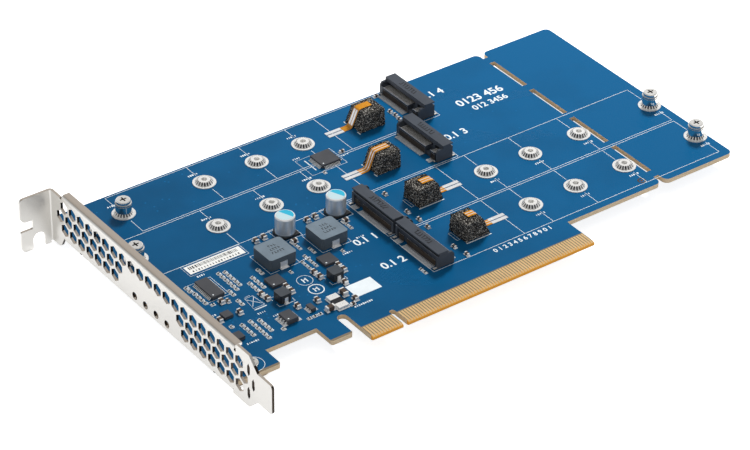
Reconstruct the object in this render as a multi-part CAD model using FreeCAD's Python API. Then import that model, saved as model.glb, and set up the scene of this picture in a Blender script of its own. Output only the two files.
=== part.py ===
import FreeCAD, Part
import math
import os
from FreeCAD import Vector

# Four-slot M.2 carrier card, millimetres.  X runs along the card from the
# bracket, Y from the edge fingers up to the back edge, Z out of the component
# side.  The origin is the edge connector's key: X at the key's centre, Y at
# the finger tips, Z on the component face of the board.

# ---- circuit board ----
board_thickness = 1.57
board_bend_gap = 0.05
board_back_margin = 0.45
board_front = 13.2
board_corner_radius = 2.0
main_right_margin = 3.5
snap_slot_width = 2.0
bridge_width = 3.4
bridge_root = 0.5
bridge_front_margin = 5.5
bridge_back_margin = 5.0
bridge_count = 5
extension_length = 28.1
# ---- edge connector tab ----
contact_pitch = 1.0
key_before_count = 11
key_after_count = 71
edge_margin = 0.65
key_width = 1.9
key_depth = 7.8
key_to_contact = 1.5
contact_width = 0.7
contact_length = 5.7
contact_thickness = 0.04
bevel_length = 0.9
bevel_depth = 0.35
contact_tip_inset = 0.15
# ---- retention lobe and bracket lobe ----
hook_slot_width = 3.35
hook_slot_top = 12.9
lobe_width = 7.7
lobe_bottom = 5.2
bracket_lobe_right = -41.4
bracket_lobe_bottom = 5.2
lobe_corner_radius = 0.8
# ---- bracket ----
sheet = 0.86
bracket_face = -58.5
plate_low = -2.72
plate_high = 15.7
tongue_width = 10.19
tongue_tip = -15.0
tongue_length = 7.27
tongue_corner_radius = 1.2
plate_corner_radius = 0.5
bend_radius = 1.2
flange_line = 13.4
flange_reach = 2.85
flange_start = 4.0
flange_end = 97.6
relief_width = 1.0
relief_depth = 0.5
lower_flange_start = 15.0
lower_flange_end = 86.5
low_corner_start = 4.7
heel_bottom = -5.4
heel_start = 97.2
heel_radius = 2.2
ear_length = 14.2
ear_width = 8.7
ear_centres = (9.25, 92.35)
ear_hole_from_face = 9.1
ear_corner_radius = 2.9
# ---- screw tab of the bracket ----
screw_tab_face = 104.2
screw_tab_reach = 11.0
screw_tab_top = 13.2
screw_tab_bottom = -6.3
tab_bend_inner = 0.5
side_slot_low = 1.25
side_slot_high = 4.45
side_slot_depth = 4.3
notch_centre_from_end = 6.25
notch_radius = 2.15
notch_depth = 5.45
tab_top_radius = 1.6
side_slot_upper_radius = 2.2
side_slot_inner_radius = 0.4
side_slot_lower_radius = 0.5
tab_foot_radius = 1.8
notch_mouth_radius = 0.35
notch_end_radius = 2.1
# ---- ventilation holes ----
vent_pitch = 4.75
vent_web = 0.9
vent_rows = (10.45, 6.34, 2.22)
first_vent_y = 96.4
slim_vent_share = 0.35
# Each row from the screw tab down: o a hole, i a slim hole, - a blank.
vent_pattern = ("oooooooooooooooooooooi", "oooooooo------ooooooooi", "ooooooo-------oooooooi")
led_hole_radius = 1.3
led_hole_z = 0.75
led_pitch = 5.83
led_first_y = 39.5
led_count = 4
led_size = (1.6, 1.6, 1.3)
led_setback = 0.6
# ---- bracket screws ----
screw_radius = 1.45
board_screw_clearance = 0.15
pan_head_radius = 2.5
pan_head_height = 1.9
pan_head_round = 0.6
cross_width = 0.7
cross_length = 2.6
cross_depth = 0.9
# ---- module slots ----
row_b = 27.2
socket_gap = 1.2
pair_gap = 2.3
datum_ab = 26.9
datum_c = 62.8
datum_d = 72.8
post_distances = (42.0, 60.0, 80.0, 110.0)
extension_post_distance = 80.0
# ---- stand-off bases ----
flange_radius = 3.8
flange_height = 0.25
cone_radius = 3.1
crown_radius = 2.3
base_height = 1.3
thread_radius = 0.95
barrel_radius = 1.8
barrel_clearance = 0.05
barrel_depth = 1.4
rib_count = 18
rib_gap = 0.48
rib_gap_inner = 1.95
rib_gap_outer = 3.2
rib_gap_floor = 0.3
# ---- long posts and card screws ----
post_radius = 2.58
post_neck_radius = 2.2
post_neck_height = 0.35
post_top = 3.9
post_stud_depth = 1.1
thread_clearance = 0.02
post_hole_depth = 2.1
card_screw_skirt_radius = 2.65
card_screw_skirt_height = 0.35
card_screw_head_radius = 2.35
card_screw_head_round = 0.35
card_screw_head_top = 5.4
card_screw_length = 1.8
card_cross_width = 0.55
card_cross_length = 2.3
card_cross_depth = 0.6
# ---- module sockets ----
socket_back = 2.75
socket_rear_depth = 3.9
socket_lip = 3.5
socket_height = 5.5
socket_width = 21.6
socket_foot = 0.15
slot_low = 2.75
slot_high = 3.95
slot_floor = -1.0
jaw_top = 3.0
jaw_rim = 0.35
jaw_brow = 0.45
jaw_recess = 0.3
jaw_recess_margin = 0.25
jaw_recess_inset = 1.55
slot_side_wall = 1.0
end_wall = 0.8
end_wall_top = 4.4
end_wall_nose = 3.4
end_wall_slope = 0.7
key_inset = 4.7
key_rib = 1.2
lip_key_low = 6.2
lip_key_high = 3.8
lip_end = 1.6
lip_key_floor = 1.2
recess_depth = 0.8
recess_top = 3.7
groove_low = 4.25
groove_high = 5.1
socket_contact_pitch = 0.5
socket_contact_inset = 1.8
socket_contact_width = 0.22
socket_contact_gauge = 0.12
back_tail_length = 1.7
back_tail_rise = 2.2
back_tail_inset = 0.35
mouth_tail_length = 1.9
mouth_tail_rise = 2.1
spring_length = 4.1
upper_spring_length = 1.9
hold_down_size = (1.3, 0.9, 0.3)
hold_down_inset = 0.6
mouth_hold_down_inset = 1.1
mouth_hold_down_length = 0.55
# ---- foam pads and thermistor strips ----
foam_height = 6.3
foam_corner = 0.8
film_thickness = 0.2
film_clearance = 0.02
# Pads: distance of the near side from the module's datum, length along the
# module, and the reach to the low and the high side of the row's centre line.
foam_a = (12.1, 9.8, 4.3, 4.0)
foam_b = (12.6, 9.7, 5.0, 4.0)
foam_c = (14.0, 9.4, 6.0, 2.4)
foam_d = (13.3, 10.0, 5.9, 3.3)
film_top_ab = 6.2
film_top_c = 7.6
film_top_d = 7.4
film_tail = 3.3
film_width = 2.7
lead_width = 1.3
lead_gap = 0.4
# Offset of each strip from its row's centre line.
strip_offsets = {"a": 0.0, "b": 0.0, "c": -0.9, "d": -0.4}
lead_length = 6.0
lead_thickness = 0.15
# ---- polymer capacitors ----
circuit_count = 2
circuit_pitch = 19.3
can_centre = (-2.5, 59.0)
can_radius = 3.2
can_top = 6.8
can_base_height = 0.6
can_base_half = 3.35
can_base_chamfer = 1.3
can_round = 0.45
# ---- moulded inductors ----
big_centre = (-13.1, 49.2)
big_size = (9.8, 9.7, 4.0)
big_terminal_width = 2.6
big_terminal_height = 2.2
small_centre = (-23.0, 30.9)
small_size = (4.0, 4.1, 2.9)
small_terminal_width = 1.2
small_terminal_height = 1.9
terminal_gauge = 0.15
terminal_foot = 0.6
big_bevel = 0.65
small_bevel = 0.35
# ---- integrated circuits ----
quad_x = 31.2
quad_from_row_c = 11.0
quad_body = 7.0
quad_span = 9.0
quad_height = 1.3
quad_lead_count = 12
quad_pitch = 0.5
thin_centre = (-38.1, 47.5)
thin_body = (4.4, 9.7)
thin_span = 6.4
thin_height = 1.1
thin_lead_count = 14
thin_pitch = 0.65
outline_centre = (-27.3, 21.65)
outline_body = (3.9, 4.9)
outline_span = 6.0
outline_height = 1.6
outline_lead_count = 4
outline_pitch = 1.27
lead_gauge = 0.15
lead_share = 0.45
foot_length = 0.6
foot_share = 0.6
knee_share = 0.35
lead_exit_share = 0.55
converter_centre = (-19.8, 39.3)
converter_size = (5.0, 5.0, 0.9)
monitor_centre = (-41.3, 33.6)
monitor_size = (3.0, 3.0, 0.9)
regulator_centre = (-44.6, 22.7)
regulator_size = (3.0, 3.3, 1.1)
switch_centre = (-18.9, 22.0)
switch_size = (1.7, 2.9, 1.1)
switch_span = 2.8
switch_lead_count = 3
switch_pitch = 0.95
package_foot = 0.05
# ---- fuse ----
fuse_centre = (-10.7, 19.9)
fuse_size = (3.6, 7.0, 1.0)
fuse_end = 2.4
# ---- chip parts: length, width, height, end length ----
large_chip = (2.9, 1.6, 1.4, 0.5)
medium_chip = (2.0, 1.25, 1.1, 0.4)
small_chip = (1.6, 0.8, 0.8, 0.35)
resistor_chip = (1.1, 0.6, 0.4, 0.28)
resistor_spacing = 0.8
# ---- label ----
label_low = (-38.3, 57.3)
label_size = (20.1, 4.2, 0.08)

# Chip places: x, y, and the axis that the chip lies along.
converter_medium_chips = (
    (-26.8, 36.4, "y"), (-26.6, 33.6, "y"), (-18.6, 35.2, "y"), (-18.6, 32.5, "y"),
    (-12.4, 60.4, "y"), (-9.3, 60.6, "y"), (-3.0, 53.4, "x"))
other_medium_chips = (
    (-38.6, 40.2, "y"), (-44.3, 32.6, "y"), (-37.2, 32.6, "y"), (-21.5, 25.2, "y"),
    (-15.0, 24.2, "y"), (-2.9, 26.9, "y"), (-5.2, 18.4, "y"))
large_chips = ((-14.4, 18.4, "x"), (-6.5, 22.6, "y"))
small_chips = (
    (-36.8, 39.4, "y"), (21.4, 61.8, "y"), (-7.4, 16.6, "x"))
# Small chips by a socket: socket, distance in front of the module's datum,
# offset from the row's centre line, axis.
socket_chips = (
    ("a", 8.3, 8.2, "y"), ("a", 8.1, -3.8, "y"), ("a", 8.6, -9.2, "y"),
    ("b", 8.3, 8.8, "y"), ("b", 8.4, -4.4, "y"), ("b", 9.1, -9.9, "y"),
    ("d", 7.6, -0.8, "y"), ("d", 7.5, -3.5, "y"), ("d", 7.8, -6.1, "y"), ("d", 5.9, 9.6, "x"))
# Beside the quad flat chip, from its centre: a small chip and a resistor.
quad_chip = (7.1, 0.9)
quad_resistor = (-4.2, -5.6)
# Resistor columns: x, lowest y; rows: lowest x, y; each with its count.
converter_columns = ((-26.4, 39.3), (-24.0, 39.4), (-3.6, 49.6), (-20.4, 45.6), (-12.9, 40.9))
converter_column_counts = (3, 4, 2, 2, 1)
other_columns = (
    (-31.2, 43.2), (-29.2, 44.6), (-43.3, 50.2), (-42.8, 42.5), (-33.6, 41.4), (-34.2, 35.9), (-40.1, 21.3),
    (-37.1, 17.6), (-34.5, 20.3), (-43.1, 28.2), (-31.2, 18.5), (20.0, 17.2), (-47.0, 17.4))
other_column_counts = (6, 5, 2, 4, 2, 2, 4, 6, 4, 1, 1, 2, 1)
resistor_rows = ((-41.5, 40.6), (-22.0, 18.3))
resistor_row_counts = (1, 3)

bend_inner = bend_radius - sheet
row_step = socket_width + socket_gap
row_a = row_b + row_step
row_c = row_a + socket_width + pair_gap
row_d = row_c + row_step
key_offset = socket_width / 2 - key_inset
contacts_from_centre = int((socket_width / 2 - socket_contact_inset) / socket_contact_pitch + 0.001)
board_back = row_d + socket_width / 2 + board_back_margin
first_bridge_y = board_front + bridge_front_margin
bridge_pitch = (board_back - bridge_back_margin - first_bridge_y) / (bridge_count - 1)
quad_centre = (quad_x, row_c + quad_from_row_c)
board_left = bracket_face + bend_radius + board_bend_gap
main_right = datum_ab + extension_post_distance + main_right_margin
plate_inner = bracket_face + sheet
ear_top = -board_thickness
lower_bend_line = ear_top - sheet + bend_radius
extension_left = main_right + snap_slot_width
extension_right = extension_left + extension_length
tab_left = -key_to_contact - (key_before_count - 1) * contact_pitch - edge_margin
tab_right = key_to_contact + (key_after_count - 1) * contact_pitch + edge_margin
lobe_right = tab_left - hook_slot_width
lobe_left = lobe_right - lobe_width
rows = {"a": row_a, "b": row_b, "c": row_c, "d": row_d}
datums = {"a": datum_ab, "b": datum_ab, "c": datum_c, "d": datum_d}
directions = {"a": 1, "b": 1, "c": -1, "d": -1}
foams = {"a": foam_a, "b": foam_b, "c": foam_c, "d": foam_d}
film_tops = {"a": film_top_ab, "b": film_top_ab, "c": film_top_c, "d": film_top_d}
# How far a cutting shape runs past the face that it opens.
overrun = 1.0
# Edges whose heights are nearer than this lie on one face; points nearer than
# the second value are one point.
edge_tolerance = 0.01
point_tolerance = 1e-6


def block(x0, y0, z0, x1, y1, z1):
    return Part.makeBox(x1 - x0, y1 - y0, z1 - z0, Vector(x0, y0, z0))


def rod(x, y, z0, z1, radius):
    return Part.makeCylinder(radius, z1 - z0, Vector(x, y, z0))


def on_xy(level):
    return lambda a, b: Vector(a, b, level)


def on_yz(level):
    return lambda a, b: Vector(level, a, b)


def on_xz(level):
    return lambda a, b: Vector(a, level, b)


def outline(points, place):
    """Closed wire through (a, b, corner radius) points, with arcs at the corners."""
    count = len(points)
    starts = []
    ends = []
    middles = []
    for i in range(count):
        a, b, radius = points[i]
        before = points[i - 1]
        after = points[(i + 1) % count]
        to_before = (before[0] - a, before[1] - b)
        to_after = (after[0] - a, after[1] - b)
        length_before = math.hypot(*to_before)
        length_after = math.hypot(*to_after)
        ub = (to_before[0] / length_before, to_before[1] / length_before)
        ua = (to_after[0] / length_after, to_after[1] / length_after)
        cosine = max(-1.0, min(1.0, ub[0] * ua[0] + ub[1] * ua[1]))
        half = math.acos(cosine) / 2.0
        if radius <= 0:
            starts.append((a, b))
            ends.append((a, b))
            middles.append(None)
            continue
        reach = radius / math.tan(half)
        mid = (ub[0] + ua[0], ub[1] + ua[1])
        mid_length = math.hypot(*mid)
        out = radius / math.sin(half) - radius
        starts.append((a + ub[0] * reach, b + ub[1] * reach))
        ends.append((a + ua[0] * reach, b + ua[1] * reach))
        middles.append((a + mid[0] / mid_length * out, b + mid[1] / mid_length * out))
    edges = []
    for i in range(count):
        if middles[i] is not None:
            edges.append(Part.Arc(place(*starts[i]), place(*middles[i]), place(*ends[i])).toShape())
        after = starts[(i + 1) % count]
        if math.hypot(after[0] - ends[i][0], after[1] - ends[i][1]) > point_tolerance:
            edges.append(Part.LineSegment(place(*ends[i]), place(*after)).toShape())
    return Part.Wire(edges)


def plate(points, place, direction):
    return Part.Face(outline(points, place)).extrude(direction)


def sharp(points):
    return [(a, b, 0) for a, b in points]


def fused(solids):
    return solids[0].multiFuse(solids[1:]).removeSplitter()


def cut_all(body, tools):
    return body.cut(Part.makeCompound(tools))


def solids_of(shapes):
    found = []
    for shape in shapes:
        found.extend(shape.Solids)
    return found


def save(name, shapes):
    solids = solids_of(shapes)
    result = solids[0] if len(solids) == 1 else Part.makeCompound(solids)
    result.exportStep("parts/" + name + ".step")


def moved(shape, x, y, z=0.0):
    placed = shape.copy()
    placed.translate(Vector(x, y, z))
    return placed


def turned(shape, angle):
    placed = shape.copy()
    placed.rotate(Vector(0, 0, 0), Vector(0, 0, 1), angle)
    return placed


def post_points(distances):
    places = []
    for key in "abcd":
        for distance in distances:
            places.append((datums[key] + directions[key] * distance, rows[key]))
    return places


def ear_points():
    return [(bracket_face + ear_hole_from_face, y) for y in ear_centres]


def make_board():
    """Board with its edge tab, lobes, key, snap-off extension and holes."""
    r = board_corner_radius
    c = lobe_corner_radius
    up = Vector(0, 0, board_thickness)
    at = on_xy(-board_thickness)
    main = plate([
        (board_left, board_back, 0), (main_right, board_back, r), (main_right, board_front, r),
        (tab_right, board_front, 0), (tab_right, 0, 0), (tab_left, 0, 0), (tab_left, hook_slot_top, 0),
        (lobe_right, hook_slot_top, 0), (lobe_right, lobe_bottom, c), (lobe_left, lobe_bottom, c),
        (lobe_left, board_front, 0), (bracket_lobe_right, board_front, 0),
        (bracket_lobe_right, bracket_lobe_bottom, c), (board_left, bracket_lobe_bottom, 0)], at, up)
    extension = plate([(extension_left, board_back, r), (extension_right, board_back, r),
                       (extension_right, board_front, r), (extension_left, board_front, r)], at, up)
    bridges = []
    for i in range(bridge_count):
        y = first_bridge_y + i * bridge_pitch
        bridges.append(block(main_right - bridge_root, y - bridge_width / 2, -board_thickness,
                             extension_left + bridge_root, y + bridge_width / 2, 0))
    body = fused([main, extension] + bridges)
    key_end = key_depth - key_width / 2
    tools = [
        rod(tab_left - hook_slot_width / 2, hook_slot_top, -board_thickness, 0, hook_slot_width / 2),
        block(-key_width / 2, -overrun, -board_thickness, key_width / 2, key_end, 0),
        rod(0, key_end, -board_thickness, 0, key_width / 2)]
    slope = bevel_depth / bevel_length
    wedge = [(-overrun, overrun), (bevel_length + overrun / slope, overrun),
             (-overrun, -bevel_depth - overrun * slope)]
    along = Vector(tab_right - tab_left + 2 * overrun, 0, 0)
    tools.append(plate(sharp(wedge), on_yz(tab_left - overrun), along))
    under = [(y, -board_thickness - z) for y, z in wedge]
    tools.append(plate(sharp(under), on_yz(tab_left - overrun), along))
    for x, y in post_points(post_distances):
        tools.append(rod(x, y, -board_thickness, 0, barrel_radius + barrel_clearance))
    for x, y in ear_points():
        tools.append(rod(x, y, -board_thickness, 0, screw_radius + board_screw_clearance))
    return cut_all(body, tools)


def make_edge_contacts():
    """Plated contacts on both faces of the tab, each folded onto the bevel."""
    tip = -bevel_depth + contact_tip_inset * bevel_depth / bevel_length
    t = contact_thickness
    top = [(contact_length, 0), (bevel_length, 0), (contact_tip_inset, tip),
           (contact_tip_inset, tip + t), (bevel_length, t), (contact_length, t)]
    low = [(a, -board_thickness - b) for a, b in top]
    places = [-key_to_contact - i * contact_pitch for i in range(key_before_count)]
    places += [key_to_contact + i * contact_pitch for i in range(key_after_count)]
    solids = []
    for x in places:
        for profile in (top, low):
            solids.append(plate(sharp(profile), on_yz(x - contact_width / 2), Vector(contact_width, 0, 0)))
    return solids


def make_vents():
    """Six-sided holes in three rows, point up, cleared over the indicator area."""
    half = (vent_pitch - vent_web) / 2
    point = half / math.cos(math.pi / 6)
    shoulder = point / 2
    tools = []
    for row, pattern in enumerate(vent_pattern):
        z = vent_rows[row]
        start = first_vent_y + row % 2 * vent_pitch / 2
        for place, mark in enumerate(pattern):
            if mark == "-":
                continue
            y = start - place * vent_pitch
            w = half * slim_vent_share if mark == "i" else half
            hexagon = [(y - w, z - shoulder), (y, z - point), (y + w, z - shoulder),
                       (y + w, z + shoulder), (y, z + point), (y - w, z + shoulder)]
            tools.append(plate(sharp(hexagon), on_yz(bracket_face - overrun), Vector(sheet + 2 * overrun, 0, 0)))
    return tools


def quarter_bend(centre_x, centre_z, upward, y0, y1):
    """Quarter ring along Y, from the plate round to a flange above or below it."""
    outer = Part.makeCylinder(bend_radius, y1 - y0, Vector(centre_x, y0, centre_z), Vector(0, 1, 0))
    inner = Part.makeCylinder(bend_inner, y1 - y0, Vector(centre_x, y0, centre_z), Vector(0, 1, 0))
    low = centre_z if upward else centre_z - bend_radius
    return outer.cut(inner).common(block(centre_x - bend_radius, y0, low, centre_x, y1, low + bend_radius))


def make_bracket():
    """Slot bracket: plate, tongue, flanges, two board ears and the screw tab."""
    tongue_low = (plate_low + plate_high - tongue_width) / 2
    tongue_high = tongue_low + tongue_width
    shoulder = tongue_tip + tongue_length
    corner = shoulder + (plate_high - tongue_high)
    c = plate_corner_radius
    bend_y = screw_tab_face - tab_bend_inner
    r = tongue_corner_radius
    relief = flange_line - relief_depth
    points = [
        (tongue_tip, tongue_low, r), (tongue_tip, tongue_high, r), (shoulder, tongue_high, 0),
        (corner, plate_high, c), (flange_start - relief_width, plate_high, c),
        (flange_start - relief_width, relief, 0), (flange_start, relief, 0), (flange_start, flange_line, 0),
        (flange_end, flange_line, 0), (flange_end, relief, 0), (flange_end + relief_width, relief, 0),
        (flange_end + relief_width, screw_tab_top, 0), (bend_y, screw_tab_top, 0), (bend_y, heel_bottom, 0),
        (heel_start + heel_radius, heel_bottom, heel_radius), (heel_start, lower_bend_line, 0),
        (low_corner_start, lower_bend_line, 0), (low_corner_start, plate_low, 0), (corner, plate_low, c),
        (shoulder, tongue_low, 0)]
    solids = [plate(points, on_yz(bracket_face), Vector(sheet, 0, 0))]
    turn_x = bracket_face + bend_radius
    flange_end_x = bracket_face + flange_reach
    flange_top = flange_line + bend_radius
    solids.append(quarter_bend(turn_x, flange_line, True, flange_start, flange_end))
    solids.append(block(turn_x, flange_start, flange_top - sheet, flange_end_x, flange_end, flange_top))
    low = ear_top - sheet
    solids.append(quarter_bend(turn_x, lower_bend_line, False, lower_flange_start, lower_flange_end))
    solids.append(block(turn_x, lower_flange_start, low, flange_end_x, lower_flange_end, ear_top))
    for y in ear_centres:
        solids.append(quarter_bend(turn_x, lower_bend_line, False, y - ear_width / 2, y + ear_width / 2))
        tip = bracket_face + ear_length
        ear = [(turn_x, y - ear_width / 2, 0), (tip, y - ear_width / 2, ear_corner_radius),
               (tip, y + ear_width / 2, ear_corner_radius), (turn_x, y + ear_width / 2, 0)]
        solids.append(plate(ear, on_xy(low), Vector(0, 0, sheet)))
    solids += make_screw_tab(bend_y)
    body = fused(solids)
    tools = make_vents()
    for i in range(led_count):
        y = led_first_y + i * led_pitch
        tools.append(Part.makeCylinder(led_hole_radius, sheet + 2 * overrun,
                                       Vector(bracket_face - overrun, y, led_hole_z), Vector(1, 0, 0)))
    for x, y in ear_points():
        tools.append(rod(x, y, low - overrun, ear_top + overrun, screw_radius))
    return cut_all(body, tools)


def make_screw_tab(bend_y):
    """Bend and tab that fasten to the chassis, with an open side slot and a screw notch."""
    outer_radius = tab_bend_inner + sheet
    centre_x = bracket_face - tab_bend_inner
    ring = rod(centre_x, bend_y, heel_bottom, screw_tab_top, outer_radius)
    ring = ring.cut(rod(centre_x, bend_y, heel_bottom, screw_tab_top, tab_bend_inner))
    bend = ring.common(block(centre_x, bend_y, heel_bottom, centre_x + outer_radius,
                             bend_y + outer_radius, screw_tab_top))
    end = bracket_face - screw_tab_reach
    notch_x = end + notch_centre_from_end
    slot_x = end + side_slot_depth
    notch_top = screw_tab_bottom + notch_depth
    points = [
        (centre_x, screw_tab_top, 0), (end, screw_tab_top, tab_top_radius),
        (end, side_slot_high, side_slot_upper_radius), (slot_x, side_slot_high, side_slot_inner_radius),
        (slot_x, side_slot_low, side_slot_inner_radius), (end, side_slot_low, side_slot_lower_radius),
        (end, screw_tab_bottom, tab_foot_radius), (notch_x - notch_radius, screw_tab_bottom, notch_mouth_radius),
        (notch_x - notch_radius, notch_top, notch_end_radius),
        (notch_x + notch_radius, notch_top, notch_end_radius),
        (notch_x + notch_radius, screw_tab_bottom, notch_mouth_radius), (centre_x, screw_tab_bottom, 0)]
    tab = plate(points, on_xz(screw_tab_face), Vector(0, sheet, 0))
    return [bend, tab]


def cross_recess(x, y, top, depth, length, width):
    bars = [block(x - length / 2, y - width / 2, top - depth, x + length / 2, y + width / 2, top + overrun),
            block(x - width / 2, y - length / 2, top - depth, x + width / 2, y + length / 2, top + overrun)]
    return fused(bars)


def make_bracket_screws():
    solids = []
    for x, y in ear_points():
        head = rod(x, y, 0, pan_head_height, pan_head_radius)
        rim = [edge for edge in head.Edges if edge.BoundBox.ZMin > pan_head_height - edge_tolerance and edge.Closed]
        head = head.makeFillet(pan_head_round, rim)
        shank = rod(x, y, ear_top - sheet, 0, screw_radius)
        body = fused([head, shank])
        solids.append(body.cut(cross_recess(x, y, pan_head_height, cross_depth, cross_length, cross_width)))
    return solids


def make_base():
    """One soldered nut: flange, ribbed cone, flat crown and a threaded barrel."""
    profile = sharp([(thread_radius, -barrel_depth), (barrel_radius, -barrel_depth), (barrel_radius, 0),
                     (flange_radius, 0), (flange_radius, flange_height), (cone_radius, flange_height),
                     (crown_radius, base_height), (thread_radius, base_height)])
    body = Part.Face(outline(profile, on_xz(0))).revolve(Vector(0, 0, 0), Vector(0, 0, 1), 360)
    gap = block(rib_gap_inner, -rib_gap / 2, rib_gap_floor, rib_gap_outer, rib_gap / 2, base_height)
    gaps = []
    for i in range(rib_count):
        gaps.append(turned(gap, i * 360.0 / rib_count))
    return cut_all(body, gaps)


def make_post(x, y):
    neck_bottom = post_top - post_neck_height
    post = rod(x, y, base_height, neck_bottom, post_radius)
    neck = rod(x, y, neck_bottom, post_top, post_neck_radius)
    stud = rod(x, y, base_height - post_stud_depth, base_height, thread_radius - thread_clearance)
    return fused([post, neck, stud]).cut(rod(x, y, post_top - post_hole_depth, post_top, thread_radius))


def make_card_screw(x, y):
    skirt_top = post_top + card_screw_skirt_height
    skirt = rod(x, y, post_top, skirt_top, card_screw_skirt_radius)
    head = rod(x, y, skirt_top, card_screw_head_top, card_screw_head_radius)
    rim = [edge for edge in head.Edges if edge.BoundBox.ZMin > card_screw_head_top - edge_tolerance and edge.Closed]
    head = head.makeFillet(card_screw_head_round, rim)
    shank = rod(x, y, post_top - card_screw_length, post_top, thread_radius - thread_clearance)
    recess = cross_recess(x, y, card_screw_head_top, card_cross_depth, card_cross_length, card_cross_width)
    return fused([skirt, head, shank]).cut(recess)


def place_socket(shape, key):
    angle = 0 if directions[key] > 0 else 180
    return moved(turned(shape, angle), datums[key], rows[key])


def make_socket_housing():
    """Socket body with its mouth toward +X; the datum is where a module ends."""
    half = socket_width / 2
    front = socket_rear_depth - socket_back
    side = half - slot_side_wall
    foot = socket_foot
    wall = sharp([(front, foot), (socket_lip, foot), (socket_lip, end_wall_nose),
                  (socket_lip - end_wall_slope, end_wall_top), (front, end_wall_top)])
    solids = [
        block(-socket_back, -half, foot, front, half, socket_height),
        block(front, -half + end_wall / 2, foot, socket_lip, half - lip_key_low, jaw_top),
        block(front, half - lip_key_low, foot, socket_lip - jaw_recess, half - lip_key_high, lip_key_floor),
        block(front, half - lip_key_high, foot, socket_lip, half - lip_end, jaw_top),
        plate(wall, on_xz(-half), Vector(0, end_wall, 0)),
        plate(wall, on_xz(half - end_wall), Vector(0, end_wall, 0))]
    back = recess_depth - socket_back
    behind = -socket_back - overrun
    rim = socket_lip - jaw_rim
    face = socket_lip - jaw_recess
    brow = jaw_top - jaw_brow
    low_end = half - lip_key_low - jaw_recess_margin
    high_start = half - lip_key_high + jaw_recess_margin
    tools = [
        block(slot_floor, -side, slot_low, front, key_offset - key_rib / 2, slot_high),
        block(slot_floor, key_offset + key_rib / 2, slot_low, front, side, slot_high),
        block(front, jaw_recess_margin - side, slot_low, rim, low_end, jaw_top + overrun),
        block(front, high_start, slot_low, rim, half - lip_end + overrun, jaw_top + overrun),
        block(face, jaw_recess_inset - half, foot - overrun, socket_lip + overrun, low_end, brow),
        block(face, high_start, foot - overrun, socket_lip + overrun, half - lip_end + overrun, brow),
        block(behind, -side, foot - overrun, back, side, recess_top),
        block(behind, -half - overrun, groove_low, back, half + overrun, groove_high)]
    return cut_all(fused(solids), tools)


def contact_places():
    keep = []
    for i in range(-contacts_from_centre, contacts_from_centre + 1):
        v = i * socket_contact_pitch
        if abs(v - key_offset) > key_rib / 2 + socket_contact_width:
            keep.append(v)
    return keep


def make_socket_contacts():
    """Solder tails on both sides, springs below and above the slot, and the hold-downs."""
    g = socket_contact_gauge
    w = socket_contact_width
    rise = back_tail_inset - socket_back
    back = [(rise, 0), (rise - back_tail_length - back_tail_inset, 0),
            (rise - back_tail_length - back_tail_inset, g), (rise - g, g),
            (rise - g, back_tail_rise), (rise, back_tail_rise)]
    face = socket_lip - jaw_recess
    toe = socket_lip + mouth_tail_length
    mouth = [(face, 0), (toe, 0), (toe, g), (face + g, g), (face + g, mouth_tail_rise), (face, mouth_tail_rise)]
    half = socket_width / 2
    solids = []
    for v in contact_places():
        y0 = v - w / 2
        solids.append(plate(sharp(back), on_xz(y0), Vector(0, w, 0)))
        on_lip = y0 + w < half - lip_key_low or y0 > half - lip_key_high
        if on_lip and y0 + w < half - lip_end:
            solids.append(plate(sharp(mouth), on_xz(y0), Vector(0, w, 0)))
            solids.append(block(slot_floor, y0, slot_low, slot_floor + spring_length, y0 + w, slot_low + g))
        solids.append(block(slot_floor, y0, slot_high - g, slot_floor + upper_spring_length, y0 + w, slot_high))
    length, width, height = hold_down_size
    for side in (-1, 1):
        v = side * (half - hold_down_inset)
        solids.append(block(-socket_back - length, v - width / 2, 0, -socket_back, v + width / 2, height))
        v = side * (half - mouth_hold_down_inset)
        solids.append(block(socket_lip, v - width / 2, 0, socket_lip + mouth_hold_down_length,
                            v + width / 2, height))
    return solids


def foam_box(key):
    """Near and far X of a pad, as seen from its socket, and its low and high Y."""
    start, length, low, high = foams[key]
    near = datums[key] + directions[key] * start
    return near, near + directions[key] * length, rows[key] - low, rows[key] + high


def make_foam(key):
    near, far, y0, y1 = foam_box(key)
    x0, x1 = min(near, far), max(near, far)
    r = foam_corner
    return plate([(x0, y0, r), (x1, y0, r), (x1, y1, r), (x0, y1, r)], on_xy(0), Vector(0, 0, foam_height))


def make_film(key):
    """Polyimide strip: over the pad's top, down its far side and onto the board."""
    near, edge, y0, y1 = foam_box(key)
    side = directions[key]
    t = film_thickness
    g = film_clearance
    inner = edge + side * g
    outer = inner + side * t
    top = foam_height + g
    reach = edge - side * film_tops[key]
    tail = outer + side * film_tail
    points = [(reach, top), (inner, top), (inner, 0), (tail, 0), (tail, t), (outer, t), (outer, top + t),
              (reach, top + t)]
    y = rows[key] + strip_offsets[key] - film_width / 2
    return plate(sharp(points), on_xz(y), Vector(0, film_width, 0))


def make_leads(key):
    near, edge, y0, y1 = foam_box(key)
    side = directions[key]
    start = edge + side * (film_clearance + film_thickness + film_tail)
    end = start + side * lead_length
    solids = []
    for across in (-1, 1):
        y = rows[key] + strip_offsets[key] + across * (lead_gap + lead_width) / 2
        solids.append(block(min(start, end), y - lead_width / 2, 0, max(start, end), y + lead_width / 2,
                            lead_thickness))
    return solids


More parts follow.
